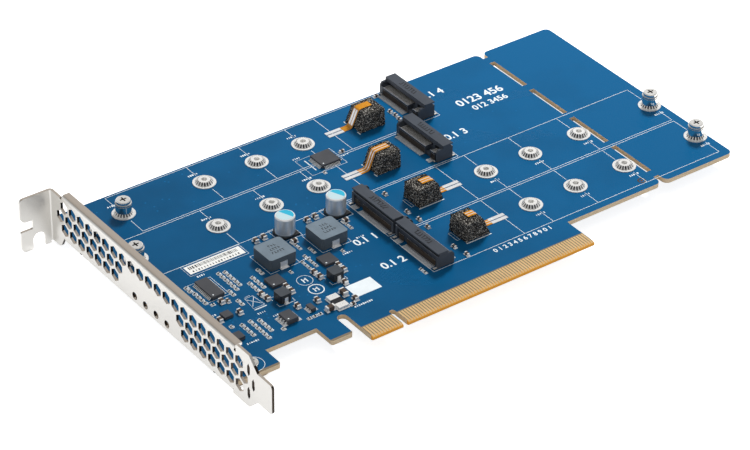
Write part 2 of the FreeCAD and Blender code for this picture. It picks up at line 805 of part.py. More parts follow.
def make_cans():
    cans = []
    bases = []
    h = can_base_half
    c = can_base_chamfer
    for i in range(circuit_count):
        x = can_centre[0] + i * circuit_pitch
        y = can_centre[1]
        can = rod(x, y, can_base_height, can_top, can_radius)
        rim = [edge for edge in can.Edges if edge.Closed and edge.BoundBox.ZMin > can_top - edge_tolerance]
        cans.append(can.makeFillet(can_round, rim))
        base = [(x - h, y - h + c), (x - h + c, y - h), (x + h, y - h), (x + h, y + h), (x - h + c, y + h),
                (x - h, y + h - c)]
        bases.append(plate(sharp(base), on_xy(0), Vector(0, 0, can_base_height)))
    return cans, bases


def make_inductors(centre, size, b, terminal_width, terminal_height):
    """Moulded blocks with a folded terminal on each Y face."""
    bodies = []
    terminals = []
    length, width, height = size
    for i in range(circuit_count):
        x = centre[0] + i * circuit_pitch
        y = centre[1]
        corners = [(x - length / 2 + b, y - width / 2), (x + length / 2 - b, y - width / 2),
                   (x + length / 2, y - width / 2 + b), (x + length / 2, y + width / 2 - b),
                   (x + length / 2 - b, y + width / 2), (x - length / 2 + b, y + width / 2),
                   (x - length / 2, y + width / 2 - b), (x - length / 2, y - width / 2 + b)]
        bodies.append(plate(sharp(corners), on_xy(0), Vector(0, 0, height)))
        for side in (-1, 1):
            face = y + side * width / 2
            out = face + side * terminal_gauge
            toe = face + side * terminal_foot
            profile = [(face, 0), (toe, 0), (toe, terminal_gauge), (out, terminal_gauge),
                       (out, terminal_height), (face, terminal_height)]
            terminals.append(plate(sharp(profile), on_yz(x - terminal_width / 2), Vector(terminal_width, 0, 0)))
    return bodies, terminals


def gull_leads(centre, body_half, span, height, count, pitch, angle):
    """Gull-wing leads on one side; the side faces +X before it is turned."""
    g = lead_gauge
    reach = span / 2 - body_half
    top = height * lead_exit_share
    knee = body_half + reach * knee_share
    foot = span / 2 - min(foot_length, reach * foot_share)
    profile = [(body_half, top), (knee, top), (foot + g, g), (span / 2, g), (span / 2, 0), (foot, 0),
               (knee - g, top - g), (body_half, top - g)]
    width = pitch * lead_share
    solids = []
    for i in range(count):
        v = (i - (count - 1) / 2) * pitch - width / 2
        lead = plate(sharp(profile), on_xz(v), Vector(0, width, 0))
        solids.append(moved(turned(lead, angle), centre[0], centre[1]))
    return solids


def package(centre, size, foot=0.0):
    x, y = centre
    length, width, height = size
    return block(x - length / 2, y - width / 2, foot, x + length / 2, y + width / 2, height)


def chip(x, y, axis, size):
    """Chip part: one ceramic body and two metal ends, face to face."""
    length, width, height, end = size
    if axis == "x":
        lx, ly = length / 2, width / 2
        body = block(x - lx + end, y - ly, 0, x + lx - end, y + ly, height)
        ends = [block(x - lx, y - ly, 0, x - lx + end, y + ly, height),
                block(x + lx - end, y - ly, 0, x + lx, y + ly, height)]
    else:
        lx, ly = width / 2, length / 2
        body = block(x - lx, y - ly + end, 0, x + lx, y + ly - end, height)
        ends = [block(x - lx, y - ly, 0, x + lx, y - ly + end, height),
                block(x - lx, y + ly - end, 0, x + lx, y + ly, height)]
    return body, ends


def make_chips():
    places = []
    for step in range(circuit_count):
        shift = step * circuit_pitch
        for x, y, axis in converter_medium_chips:
            places.append((x + shift, y, axis, medium_chip))
    places += [(x, y, axis, medium_chip) for x, y, axis in other_medium_chips]
    places += [(x, y, axis, large_chip) for x, y, axis in large_chips]
    places += [(x, y, axis, small_chip) for x, y, axis in small_chips]
    places += [(datums[key] + directions[key] * ahead, rows[key] + across, axis, small_chip)
               for key, ahead, across, axis in socket_chips]
    places.append((quad_centre[0] + quad_chip[0], quad_centre[1] + quad_chip[1], "x", small_chip))
    bodies = []
    ends = []
    for x, y, axis, size in places:
        body, pair = chip(x, y, axis, size)
        bodies.append(body)
        ends += pair
    return bodies, ends


def make_resistors():
    step = resistor_chip[0] + resistor_spacing
    columns = list(zip(other_columns, other_column_counts))
    for number in range(circuit_count):
        shift = number * circuit_pitch
        columns += [((x + shift, y), count) for (x, y), count in zip(converter_columns, converter_column_counts)]
    places = [(quad_centre[0] + quad_resistor[0], quad_centre[1] + quad_resistor[1], "y")]
    for (x, y), count in columns:
        places += [(x, y + i * step, "y") for i in range(count)]
    for (x, y), count in zip(resistor_rows, resistor_row_counts):
        places += [(x + i * step, y, "x") for i in range(count)]
    bodies = []
    ends = []
    for x, y, axis in places:
        body, pair = chip(x, y, axis, resistor_chip)
        bodies.append(body)
        ends += pair
    return bodies, ends


def make_fuse():
    x, y = fuse_centre
    length, width, height = fuse_size
    body = block(x - length / 2, y - width / 2 + fuse_end, 0, x + length / 2, y + width / 2 - fuse_end, height)
    ends = [block(x - length / 2, y - width / 2, 0, x + length / 2, y - width / 2 + fuse_end, height),
            block(x - length / 2, y + width / 2 - fuse_end, 0, x + length / 2, y + width / 2, height)]
    return body, ends


def make_leds():
    length, width, height = led_size
    x = plate_inner + led_setback
    solids = []
    for i in range(led_count):
        y = led_first_y + i * led_pitch
        solids.append(block(x, y - width / 2, 0, x + length, y + width / 2, height))
    return solids


os.makedirs("parts", exist_ok=True)
save("circuit_board", [make_board()])
save("edge_contacts", make_edge_contacts())
save("slot_bracket", [make_bracket()])
save("bracket_screws", make_bracket_screws())
housing = make_socket_housing()
contacts = make_socket_contacts()
for key in "abcd":
    save("socket_housing_" + key, [place_socket(housing, key)])
    save("socket_contacts_" + key, [place_socket(contact, key) for contact in contacts])
    save("foam_pad_" + key, [make_foam(key)])
    save("sensor_film_" + key, [make_film(key)])
    save("sensor_leads_" + key, make_leads(key))
base = make_base()
save("standoff_bases", [moved(base, x, y) for x, y in post_points(post_distances)])
end_points = post_points(post_distances[-1:])
save("long_posts", [make_post(x, y) for x, y in end_points])
save("card_screws", [make_card_screw(x, y) for x, y in end_points])
cans, can_bases = make_cans()
save("capacitor_cans", cans)
save("capacitor_bases", can_bases)
bodies, terminals = make_inductors(big_centre, big_size, big_bevel, big_terminal_width, big_terminal_height)
save("power_inductors", bodies)
save("power_inductor_terminals", terminals)
bodies, terminals = make_inductors(small_centre, small_size, small_bevel, small_terminal_width, small_terminal_height)
save("small_inductors", bodies)
save("small_inductor_terminals", terminals)
save("quad_flat_chip", [package(quad_centre, (quad_body, quad_body, quad_height), package_foot)])
quad_pins = []
for angle in (0, 90, 180, 270):
    quad_pins += gull_leads(quad_centre, quad_body / 2, quad_span, quad_height, quad_lead_count, quad_pitch, angle)
save("quad_flat_leads", quad_pins)
save("thin_outline_chip", [package(thin_centre, thin_body + (thin_height,), package_foot)])
thin_pins = []
for angle in (0, 180):
    thin_pins += gull_leads(thin_centre, thin_body[0] / 2, thin_span, thin_height, thin_lead_count, thin_pitch, angle)
save("thin_outline_leads", thin_pins)
save("small_outline_chip", [package(outline_centre, outline_body + (outline_height,), package_foot)])
outline_pins = []
for angle in (0, 180):
    outline_pins += gull_leads(outline_centre, outline_body[0] / 2, outline_span, outline_height,
                               outline_lead_count, outline_pitch, angle)
save("small_outline_leads", outline_pins)
converters = [(converter_centre[0] + i * circuit_pitch, converter_centre[1]) for i in range(circuit_count)]
save("converter_chips", [package(centre, converter_size) for centre in converters])
save("support_chips", [package(monitor_centre, monitor_size), package(regulator_centre, regulator_size),
                       package(switch_centre, switch_size)])
switch_pins = []
for angle in (0, 180):
    switch_pins += gull_leads(switch_centre, switch_size[0] / 2, switch_span, switch_size[2],
                              switch_lead_count, switch_pitch, angle)
save("support_chip_leads", switch_pins)
fuse_body, fuse_ends = make_fuse()
save("input_fuse", [fuse_body])
save("input_fuse_ends", fuse_ends)
bodies, ends = make_chips()
save("chip_capacitors", bodies)
save("chip_capacitor_ends", ends)
bodies, ends = make_resistors()
save("chip_resistors", bodies)
save("chip_resistor_ends", ends)
save("status_leds", make_leds())
label_x, label_y = label_low
save("serial_label", [block(label_x, label_y, 0, label_x + label_size[0], label_y + label_size[1], label_size[2])])
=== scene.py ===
import math
import random

import bmesh
import bpy
from mathutils import Matrix, Vector


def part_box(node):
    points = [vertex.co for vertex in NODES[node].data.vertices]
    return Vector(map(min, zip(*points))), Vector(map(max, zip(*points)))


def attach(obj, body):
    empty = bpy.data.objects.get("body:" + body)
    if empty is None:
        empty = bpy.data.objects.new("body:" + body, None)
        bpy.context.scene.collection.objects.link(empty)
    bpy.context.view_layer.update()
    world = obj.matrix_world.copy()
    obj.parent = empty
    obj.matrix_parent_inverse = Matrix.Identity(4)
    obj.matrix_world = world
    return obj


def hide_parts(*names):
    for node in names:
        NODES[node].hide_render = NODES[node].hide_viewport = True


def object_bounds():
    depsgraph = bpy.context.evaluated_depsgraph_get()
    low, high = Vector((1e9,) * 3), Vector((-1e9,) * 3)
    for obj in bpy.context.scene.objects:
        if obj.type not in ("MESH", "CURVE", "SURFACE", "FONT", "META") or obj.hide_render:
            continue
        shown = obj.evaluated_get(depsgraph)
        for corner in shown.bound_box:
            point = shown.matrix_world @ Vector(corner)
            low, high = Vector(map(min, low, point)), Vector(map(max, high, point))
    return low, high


bl_info = {
    "name": "Drive Adapter Card",
    "version": (1, 0, 0),
    "blender": (4, 5, 0),
    "location": "3D View > Sidebar > Adapter Card",
    "description": "Finishes a four-socket drive adapter card around its solid model",
    "category": "Object",
}

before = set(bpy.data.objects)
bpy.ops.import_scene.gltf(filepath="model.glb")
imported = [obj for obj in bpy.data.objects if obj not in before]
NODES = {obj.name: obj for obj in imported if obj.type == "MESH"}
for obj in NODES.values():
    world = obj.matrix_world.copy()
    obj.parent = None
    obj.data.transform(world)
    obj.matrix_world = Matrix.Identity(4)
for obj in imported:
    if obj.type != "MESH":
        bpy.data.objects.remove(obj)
CAD_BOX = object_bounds()
MM = 0.001
SOCKETS = "abcd"

# How far a socket reaches behind the plane where a module ends; this and what follows is in millimetres.
SOCKET_BACK = 2.75
# Where the mask starts behind the contacts, and how wide the cut bevel at their tips is.
MASK_EDGE = 6.1
BEVEL_WIDTH = 0.95
# The bracket's plate lies between two planes, measured from its far end, and ends below its bends.
PLATE_OUTER = 10.9
PLATE_INNER = 11.9
PLATE_TOP = 13.35
# Height of a can's flat top and radius of the print on it.
CAN_TOP = 6.72
CAN_DISC = 2.72
# How far a foam pad's upper edge lies in from its foot on the sensor's side.
FOAM_LEAN = {"a": 1.8, "b": 2.8, "c": 2.0, "d": 2.3}


# ---- measures read from the solid model ----

def box(node):
    """Lowest and highest corner of a CAD node, in millimetres."""
    low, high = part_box(node)
    return low / MM, high / MM


def solids(node):
    """Lowest and highest corner of each separate solid of a CAD node, in millimetres."""
    mesh = NODES[node].data
    keys = {}
    spots = []
    for vertex in mesh.vertices:
        key = tuple(round(c * 1e6) for c in vertex.co)
        spots.append(keys.setdefault(key, len(keys)))
    roots = list(range(len(keys)))

    def find(i):
        while roots[i] != i:
            roots[i] = roots[roots[i]]
            i = roots[i]
        return i

    for face in mesh.polygons:
        first = find(spots[face.vertices[0]])
        for v in face.vertices[1:]:
            roots[find(spots[v])] = first
    found = {}
    for vertex, spot in zip(mesh.vertices, spots):
        co = vertex.co / MM
        low, high = found.setdefault(find(spot), (co.copy(), co.copy()))
        for axis in range(3):
            low[axis] = min(low[axis], co[axis])
            high[axis] = max(high[axis], co[axis])
    return sorted(found.values(), key=lambda pair: tuple(round(c, 2) for c in (*pair[0], *pair[1])))


def middle(pair):
    return (pair[0] + pair[1]) / 2


def socket_place(key):
    """Module row height, the plane where a module ends, and the way its mouth faces."""
    low, high = box("socket_housing_" + key)
    facing = 1 if key in "ab" else -1
    datum = low.x + SOCKET_BACK if facing > 0 else high.x - SOCKET_BACK
    return (low.y + high.y) / 2, datum, facing


# ---- colours, nodes and geometry helpers ----

def linear(code):
    """Linear colour from an sRGB hex code."""
    values = [int(code[i:i + 2], 16) / 255 for i in (1, 3, 5)]
    return tuple(v / 12.92 if v <= 0.04045 else ((v + 0.055) / 1.055) ** 2.4 for v in values) + (1.0,)


def shade(colour, factor):
    """The same colour, darker below 1 and lighter above."""
    return tuple(min(1.0, c * factor) for c in colour[:3]) + (1.0,)


def add_node(tree, kind, inputs=None, **settings):
    """Add a node, set its settings, then set or link its inputs."""
    node = tree.nodes.new(kind)
    for key, value in settings.items():
        setattr(node, key, value)
    for key, value in (inputs or {}).items():
        if isinstance(value, bpy.types.NodeSocket):
            tree.links.new(value, node.inputs[key])
        else:
            node.inputs[key].default_value = value
    return node


def calc(tree, operation, *values):
    """The result of a Math node on up to three values."""
    return add_node(tree, "ShaderNodeMath", dict(enumerate(values)), operation=operation).outputs[0]


def every(tree, first, *others):
    """One where all of the given 0 or 1 values are one."""
    for other in others:
        first = calc(tree, "MULTIPLY", first, other)
    return first


def remap(tree, value, start, end, new_start=0.0, new_end=1.0):
    """A value carried from one range to another and held at its ends."""
    return add_node(tree, "ShaderNodeMapRange", {
        "Value": value, "From Min": start, "From Max": end,
        "To Min": new_start, "To Max": new_end}).outputs[0]


def mix(tree, factor, first, second):
    """A blend from one colour to another."""
    return add_node(tree, "ShaderNodeMix", {0: factor, 6: first, 7: second}, data_type="RGBA").outputs[2]


def noise(tree, vector, grain, detail=3.0, roughness=0.5):
    """Noise with a grain of the given size in millimetres."""
    return add_node(tree, "ShaderNodeTexNoise", {
        "Vector": vector, "Scale": 1 / (grain * MM), "Detail": detail, "Roughness": roughness}).outputs[0]


def stretched(tree, vector, scale):
    """A vector scaled along each axis."""
    return add_node(tree, "ShaderNodeMapping", {"Vector": vector, "Scale": scale}).outputs[0]


def split(tree, vector):
    """The X, Y and Z of a vector."""
    return add_node(tree, "ShaderNodeSeparateXYZ", {"Vector": vector}).outputs


def surface(tree):
    """Where a spot lies on the object and which way it faces."""
    place = add_node(tree, "ShaderNodeTexCoord").outputs
    return place["Object"], place["Normal"]


def wire(tree, shader, **results):
    """Link results to a shader's sockets; an underscore stands for a blank."""
    for name, result in results.items():
        tree.links.new(result, shader.inputs[name.replace("_", " ")])


def new_material(name, **constants):
    """An empty node material with a shader whose plain values are set on its own sockets."""
    material = bpy.data.materials.new(name)
    material.use_nodes = True
    tree = material.node_tree
    tree.nodes.clear()
    shader = add_node(tree, "ShaderNodeBsdfPrincipled", constants)
    add_node(tree, "ShaderNodeOutputMaterial", {"Surface": shader.outputs[0]})
    return material, tree, shader


def grained(name, colour, roughness, grain, contrast=0.12, relief=0.0, stretch=(1, 1, 1),
            round_edge=0.0, side=None, **constants):
    """A finish whose colour, roughness and relief drift over a grain of a size in millimetres; upright faces
    may have a colour of their own, which the gold and the inductors use as painted shade."""
    material, tree, shader = new_material(name, **constants)
    place, facing = surface(tree)
    fine = noise(tree, stretched(tree, place, stretch), grain, 4.0, 0.6)
    wide = noise(tree, place, grain * 14, 2.0)
    level = remap(tree, calc(tree, "ADD", fine, wide), 0.7, 1.3)
    tint = mix(tree, level, shade(colour, 1 - contrast), shade(colour, 1 + contrast))
    if side:
        lying = remap(tree, calc(tree, "ABSOLUTE", split(tree, facing)[2]), 0.4, 0.8)
        tint = mix(tree, lying, side, tint)
    rough = remap(tree, fine, 0.3, 0.7, roughness * 0.85, min(1.0, roughness * 1.15))
    wire(tree, shader, Base_Color=tint, Roughness=rough)
    normal = None
    if round_edge:
        normal = add_node(tree, "ShaderNodeBevel", {"Radius": round_edge * MM}, samples=4).outputs[0]
    if relief:
        normal = bumped(tree, fine, relief, 1.0, normal)
    if normal:
        wire(tree, shader, Normal=normal)
    return material


def bumped(tree, height, depth, strength, normal=None):
    """A normal with relief of a depth in millimetres."""
    inputs = {"Height": height, "Distance": depth * MM, "Strength": strength}
    if normal:
        inputs["Normal"] = normal
    return add_node(tree, "ShaderNodeBump", inputs).outputs[0]


def new_tree(name, sockets):
    """A Geometry Nodes tree with a mesh in and out and the named inputs given as (name, kind, value)."""
    tree = bpy.data.node_groups.new(name, "GeometryNodeTree")
    tree.interface.new_socket("Geometry", in_out="INPUT", socket_type="NodeSocketGeometry")
    for label, kind, value in sockets:
        socket = tree.interface.new_socket(label, in_out="INPUT", socket_type="NodeSocket" + kind)
        if value is not None:
            socket.default_value = value
    tree.interface.new_socket("Geometry", in_out="OUTPUT", socket_type="NodeSocketGeometry")
    return tree, add_node(tree, "NodeGroupInput").outputs, add_node(tree, "NodeGroupOutput")


def end_tree(tree, geometry, given, output):
    """Close a tree with Realize Instances and Set Material."""
    real = add_node(tree, "GeometryNodeRealizeInstances", {"Geometry": geometry})
    done = add_node(tree, "GeometryNodeSetMaterial", {
        "Geometry": real.outputs[0], "Material": given["Material"]})
    tree.links.new(done.outputs[0], output.inputs[0])
    return tree


def new_object(name, data):
    """An object in the scene."""
    obj = bpy.data.objects.new(name, data)
    bpy.context.scene.collection.objects.link(obj)
    return obj


def grow(name, tree, mesh, material, values=None):
    """Run a Geometry Nodes tree on a mesh and keep its result as a plain mesh object."""
    obj = new_object(name, mesh)
    modifier = obj.modifiers.new("Build", "NODES")
    modifier.node_group = tree
    wanted = dict(values or {}, Material=material)
    for item in tree.interface.items_tree:
        if item.in_out == "INPUT" and item.name in wanted:
            modifier[item.identifier] = wanted[item.name]
    ready = obj.evaluated_get(bpy.context.evaluated_depsgraph_get())
    result = bpy.data.meshes.new_from_object(ready)
    obj.modifiers.remove(modifier)
    obj.data = result
    result.name = name
    return obj


def stud_tree():
    """Tapered studs on points: one for each point, as large and turned as the point's attributes say."""
    tree, given, output = new_tree("Studs on points", (
        ("Sides", "Int", 4), ("Radius", "Float", 0.5), ("Top Radius", "Float", 0.5),
        ("Material", "Material", None)))
    cone = add_node(tree, "GeometryNodeMeshCone", {
        "Vertices": given["Sides"], "Radius Top": given["Top Radius"], "Radius Bottom": given["Radius"],
        "Depth": 1.0})
    turned = add_node(tree, "ShaderNodeCombineXYZ", {"Z": calc(tree, "DIVIDE", math.pi, given["Sides"])})
    square = add_node(tree, "GeometryNodeTransform", {
        "Geometry": cone.outputs[0], "Rotation": turned.outputs[0]})
    size = add_node(tree, "GeometryNodeInputNamedAttribute", {"Name": "size"}, data_type="FLOAT_VECTOR")
    turn = add_node(tree, "GeometryNodeInputNamedAttribute", {"Name": "turn"}, data_type="FLOAT")
    angle = add_node(tree, "ShaderNodeCombineXYZ", {"Z": turn.outputs[0]})
    placed = add_node(tree, "GeometryNodeInstanceOnPoints", {
        "Points": given["Geometry"], "Instance": square.outputs[0], "Rotation": angle.outputs[0],
        "Scale": size.outputs[0]})
    return end_tree(tree, placed.outputs[0], given, output)


def line_tree():
    """Flat lines of a set width and height along the edges of a mesh, with rounded turns."""
    tree, given, output = new_tree("Lines along edges", (
        ("Width", "Float", 0.0002), ("Height", "Float", 0.00002), ("Corner Radius", "Float", 0.0),
        ("Material", "Material", None)))
    curve = add_node(tree, "GeometryNodeMeshToCurve", {"Mesh": given["Geometry"]})
    rounded = add_node(tree, "GeometryNodeFilletCurve", {
        "Curve": curve.outputs[0], "Radius": given["Corner Radius"]})
    if "Mode" in rounded.inputs:
        rounded.inputs["Mode"].default_value = "Poly"
    else:
        rounded.mode = "POLY"
    rounded.inputs["Count"].default_value = 5
    rounded.inputs["Limit Radius"].default_value = True
    flat = add_node(tree, "GeometryNodeSetCurveNormal", {"Curve": rounded.outputs[0]}, mode="Z_UP")
    profile = add_node(tree, "GeometryNodeCurvePrimitiveQuadrilateral", {
        "Width": given["Width"], "Height": given["Height"]})
    ribbon = add_node(tree, "GeometryNodeCurveToMesh", {
        "Curve": flat.outputs[0], "Profile Curve": profile.outputs[0], "Fill Caps": True})
    return end_tree(tree, ribbon.outputs[0], given, output)


def foam_tree():
    """An open-cell foam block: a fine box whose skin is pushed in at each cell."""
    tree, given, output = new_tree("Open-cell foam", (
        ("Size", "Vector", None), ("Centre", "Vector", None), ("Cell Size", "Float", 0.0005),
        ("Cell Depth", "Float", 0.0003), ("Mesh Step", "Float", 0.00012), ("Seed", "Float", 0.0),
        ("Side", "Float", 1.0), ("Lean", "Float", 0.0), ("Taper", "Float", 0.0),
        ("Material", "Material", None)))
    counts = []
    for length in split(tree, given["Size"]):
        share = calc(tree, "DIVIDE", length, given["Mesh Step"])
        counts.append(add_node(tree, "FunctionNodeFloatToInt", {0: share}, rounding_mode="ROUND").outputs[0])
    block = add_node(tree, "GeometryNodeMeshCube", {
        "Size": given["Size"], "Vertices X": counts[0], "Vertices Y": counts[1], "Vertices Z": counts[2]})
    place = add_node(tree, "GeometryNodeInputPosition").outputs[0]
    scale = calc(tree, "DIVIDE", 1.0, given["Cell Size"])
    cells = add_node(tree, "ShaderNodeTexVoronoi", {"Vector": place, "W": given["Seed"], "Scale": scale},
                     voronoi_dimensions="4D", feature="F1")
    # Lumps are some four to five cells wide.
    lumps = add_node(tree, "ShaderNodeTexNoise", {
        "Vector": place, "W": given["Seed"], "Scale": calc(tree, "MULTIPLY", scale, 0.22), "Detail": 2.0},
        noise_dimensions="4D")
    pore = remap(tree, cells.outputs["Distance"], 0.75, 0.15)
    total = calc(tree, "ADD", pore, remap(tree, lumps.outputs[0], 0.35, 0.65, 0.0, 0.8))
    depth = calc(tree, "MULTIPLY", total, given["Cell Depth"])
    normal = add_node(tree, "GeometryNodeInputNormal").outputs[0]
    push = scaled(tree, normal, calc(tree, "MULTIPLY", depth, -1.0))
    dented = add_node(tree, "GeometryNodeSetPosition", {"Geometry": block.outputs[0], "Offset": push})
    # The block was cut askew: its upper edge lies further in on the sensor's side and a little on the ends.
    spot = add_node(tree, "ShaderNodeVectorMath", {0: place, 1: given["Size"]}, operation="DIVIDE")
    share = split(tree, spot.outputs[0])
    rise = calc(tree, "ADD", share[2], 0.5)
    back = calc(tree, "MULTIPLY", calc(tree, "MULTIPLY_ADD", share[0], given["Side"], 0.5), rise)
    lean = calc(tree, "MULTIPLY", calc(tree, "MULTIPLY", given["Side"], given["Lean"]), back)
    narrow = calc(tree, "MULTIPLY", calc(tree, "MULTIPLY", share[1], rise), given["Taper"])
    skew = add_node(tree, "ShaderNodeCombineXYZ", {"X": lean, "Y": narrow}).outputs[0]
    leant = add_node(tree, "GeometryNodeSetPosition", {
        "Geometry": dented.outputs[0], "Offset": scaled(tree, skew, -1.0)})
    moved = add_node(tree, "GeometryNodeTransform", {
        "Geometry": leant.outputs[0], "Translation": given["Centre"]})
    # The depth of each cell is kept on the points; the foam material paints shade in the cells from it.
    kept = add_node(tree, "GeometryNodeStoreNamedAttribute", {
        "Geometry": moved.outputs[0], "Name": "pore", "Value": pore}, data_type="FLOAT", domain="POINT")
    return end_tree(tree, kept.outputs[0], given, output)


def scaled(tree, vector, factor):
    """A vector times a number."""
    return add_node(tree, "ShaderNodeVectorMath", {0: vector, "Scale": factor}, operation="SCALE").outputs[0]


def points_mesh(name, points):
    """A mesh of loose points given in millimetres as (centre, size, turn)."""
    mesh = bpy.data.meshes.new(name)
    mesh.from_pydata([Vector(p[0]) * MM for p in points], [], [])
    sizes = mesh.attributes.new("size", "FLOAT_VECTOR", "POINT")
    sizes.data.foreach_set("vector", [c * MM for p in points for c in p[1]])
    turns = mesh.attributes.new("turn", "FLOAT", "POINT")
    turns.data.foreach_set("value", [p[2] for p in points])
    return mesh


def edges_mesh(name, paths):
    """A mesh of open or closed paths given in millimetres."""
    points, edges = [], []
    for path in paths:
        start = len(points)
        closed = len(path) > 2 and path[0] == path[-1]
        own = path[:-1] if closed else path
        points += [Vector(p) * MM for p in own]
        edges += [(start + i, start + i + 1) for i in range(len(own) - 1)]
        if closed:
            edges.append((start + len(own) - 1, start))
    mesh = bpy.data.meshes.new(name)
    mesh.from_pydata(points, edges, [])
    return mesh


def circle(x, y, z, radius, sides=32):
    turns = [2 * math.pi * i / sides for i in range(sides)]
    ring = [(x + radius * math.cos(a), y + radius * math.sin(a), z) for a in turns]
    return ring + ring[:1]


def keep(obj, slot, *replaced):
    """Put a finished piece on the card's only body and hide the solids it stands for; its finish slot is not
    used.
    """
    obj.data.materials.update()
    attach(obj, "root")
    if replaced:
        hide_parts(*replaced)
    return obj


def smooth(path):
    """The same path with its corners cut twice."""
    for _ in range(2):
        cut = path[:1]
        for a, b in zip(path, path[1:]):
            cut.append((a[0] * 0.75 + b[0] * 0.25, a[1] * 0.75 + b[1] * 0.25))
            cut.append((a[0] * 0.25 + b[0] * 0.75, a[1] * 0.25 + b[1] * 0.75))
        path = cut + path[-1:]
    return path


def ribbon(name, path, y0, y1, thick, material):
    """A bent strip of even thickness between two Y levels, its lower face on a path of (x, z) points."""
    corners = []
    for i, (x, z) in enumerate(path):
        before, after = Vector(path[max(0, i - 1)]), Vector(path[min(len(path) - 1, i + 1)])
        along = (after - before).normalized()
        normal = Vector((-along.y, along.x))
        if normal.y < 0 or (abs(normal.y) < 1e-6 and (path[-1][0] - path[0][0]) * normal.x > 0):
            normal = -normal
        over = Vector((x, z)) + normal * thick
        corners += [(x, y0, z), (x, y1, z), (over.x, y1, over.y), (over.x, y0, over.y)]
    faces = [(3, 2, 1, 0), tuple(len(corners) - 4 + i for i in range(4))]
    for i in range(0, len(corners) - 4, 4):
        faces += [(i + k, i + (k + 1) % 4, i + 4 + (k + 1) % 4, i + 4 + k) for k in range(4)]
    mesh = bpy.data.meshes.new(name)
    mesh.from_pydata([Vector(c) * MM for c in corners], [], faces)
    mesh.materials.append(material)
    bm = bmesh.new()
    bm.from_mesh(mesh)
    bmesh.ops.recalc_face_normals(bm, faces=bm.faces)
    bm.to_mesh(mesh)
    bm.free()
    return new_object(name, mesh)


def studs(name, points, material, slot, sides=4, top=1.0):
    """Studs on points as one piece; the top is a share of the foot."""
    radius = 0.5 / math.cos(math.pi / sides)
    obj = grow(name, TREES["studs"], points_mesh(name, points), material,
               {"Sides": sides, "Radius": radius, "Top Radius": radius * top})
    return keep(obj, slot)


def lines(name, paths, width, height, material, slot, corner=0.0):
    """Flat lines on the board as one piece."""
    obj = grow(name, TREES["lines"], edges_mesh(name, paths), material,
               {"Width": width * MM, "Height": height * MM, "Corner Radius": corner * MM})
    return keep(obj, slot)


def finish_nodes(material, *nodes):
    """Give CAD nodes a material."""
    for node in nodes:
        data = NODES[node].data
        data.materials.clear()
        data.materials.append(material)


TREES = {}


# ---- sizes and colours a user would change ----

def size_value(name, description, default, low, high):
    """A length in millimetres for the panel."""
    return bpy.props.FloatProperty(
        name=name, description=description + ", in millimetres", default=default, min=low, max=high)


def colour_value(name, description, code):
    """A colour for the panel, from an sRGB hex code."""
    return bpy.props.FloatVectorProperty(
        name=name, description=description, subtype="COLOR", size=4, min=0, max=1, default=linear(code))


class CardSizes(bpy.types.PropertyGroup):
    print_width: size_value("Print line width", "Width of the printed lines", 0.17, 0.05, 1.0)
    print_height: size_value("Print height", "Height of the printed ink", 0.02, 0.005, 0.1)
    track_width: size_value("Track width", "Width of a raised copper track under the mask", 0.16, 0.05, 1.0)
    track_pitch: size_value("Track pitch", "Distance between neighbouring tracks", 0.62, 0.2, 3.0)
    via_width: size_value("Via width", "Diameter of a covered via", 0.6, 0.2, 1.5)
    foam_cell: size_value("Foam cell", "Size of a cell of the foam", 0.55, 0.1, 2.0)
    foam_depth: size_value("Foam cell depth", "How deep a cell opens", 0.32, 0.0, 1.0)
    film_thickness: size_value("Film thickness", "Thickness of the sensor film", 0.12, 0.05, 0.5)
    solder_reach: size_value("Solder reach", "How far a joint runs out past its part", 0.28, 0.0, 1.0)


class CardColours(bpy.types.PropertyGroup):
    mask: colour_value("Solder mask", "Blue mask over copper", "#06527e")
    laminate: colour_value("Laminate", "Cut edges of the board", "#ecd6b6")
    ink: colour_value("Ink", "Printed lines", "#e6edf0")
    gold: colour_value("Gold plate", "Edge contacts", "#e8c48e")
    bracket: colour_value("Bracket", "Plated steel sheet", "#dcdad6")
    tin: colour_value("Tin", "Nuts, terminals and solder", "#f2f1ee")
    socket: colour_value("Socket plastic", "Socket housings", "#434850")
    foam: colour_value("Foam", "Foam pads", "#2c2a28")
    film: colour_value("Film", "Amber sensor film", "#c8851f")
    ferrite: colour_value("Inductor", "Pressed inductor bodies", "#6f7d88")
    resin: colour_value("Chip resin", "Moulded chip bodies", "#45464a")
    ceramic: colour_value("Capacitor ceramic", "Chip capacitor bodies", "#4a3c32")
    can_print: colour_value("Can print", "Coloured part of a capacitor's top", "#35b6d6")
    floor: colour_value("Floor", "Studio floor", "#cfcfcf")


# ---- materials ----

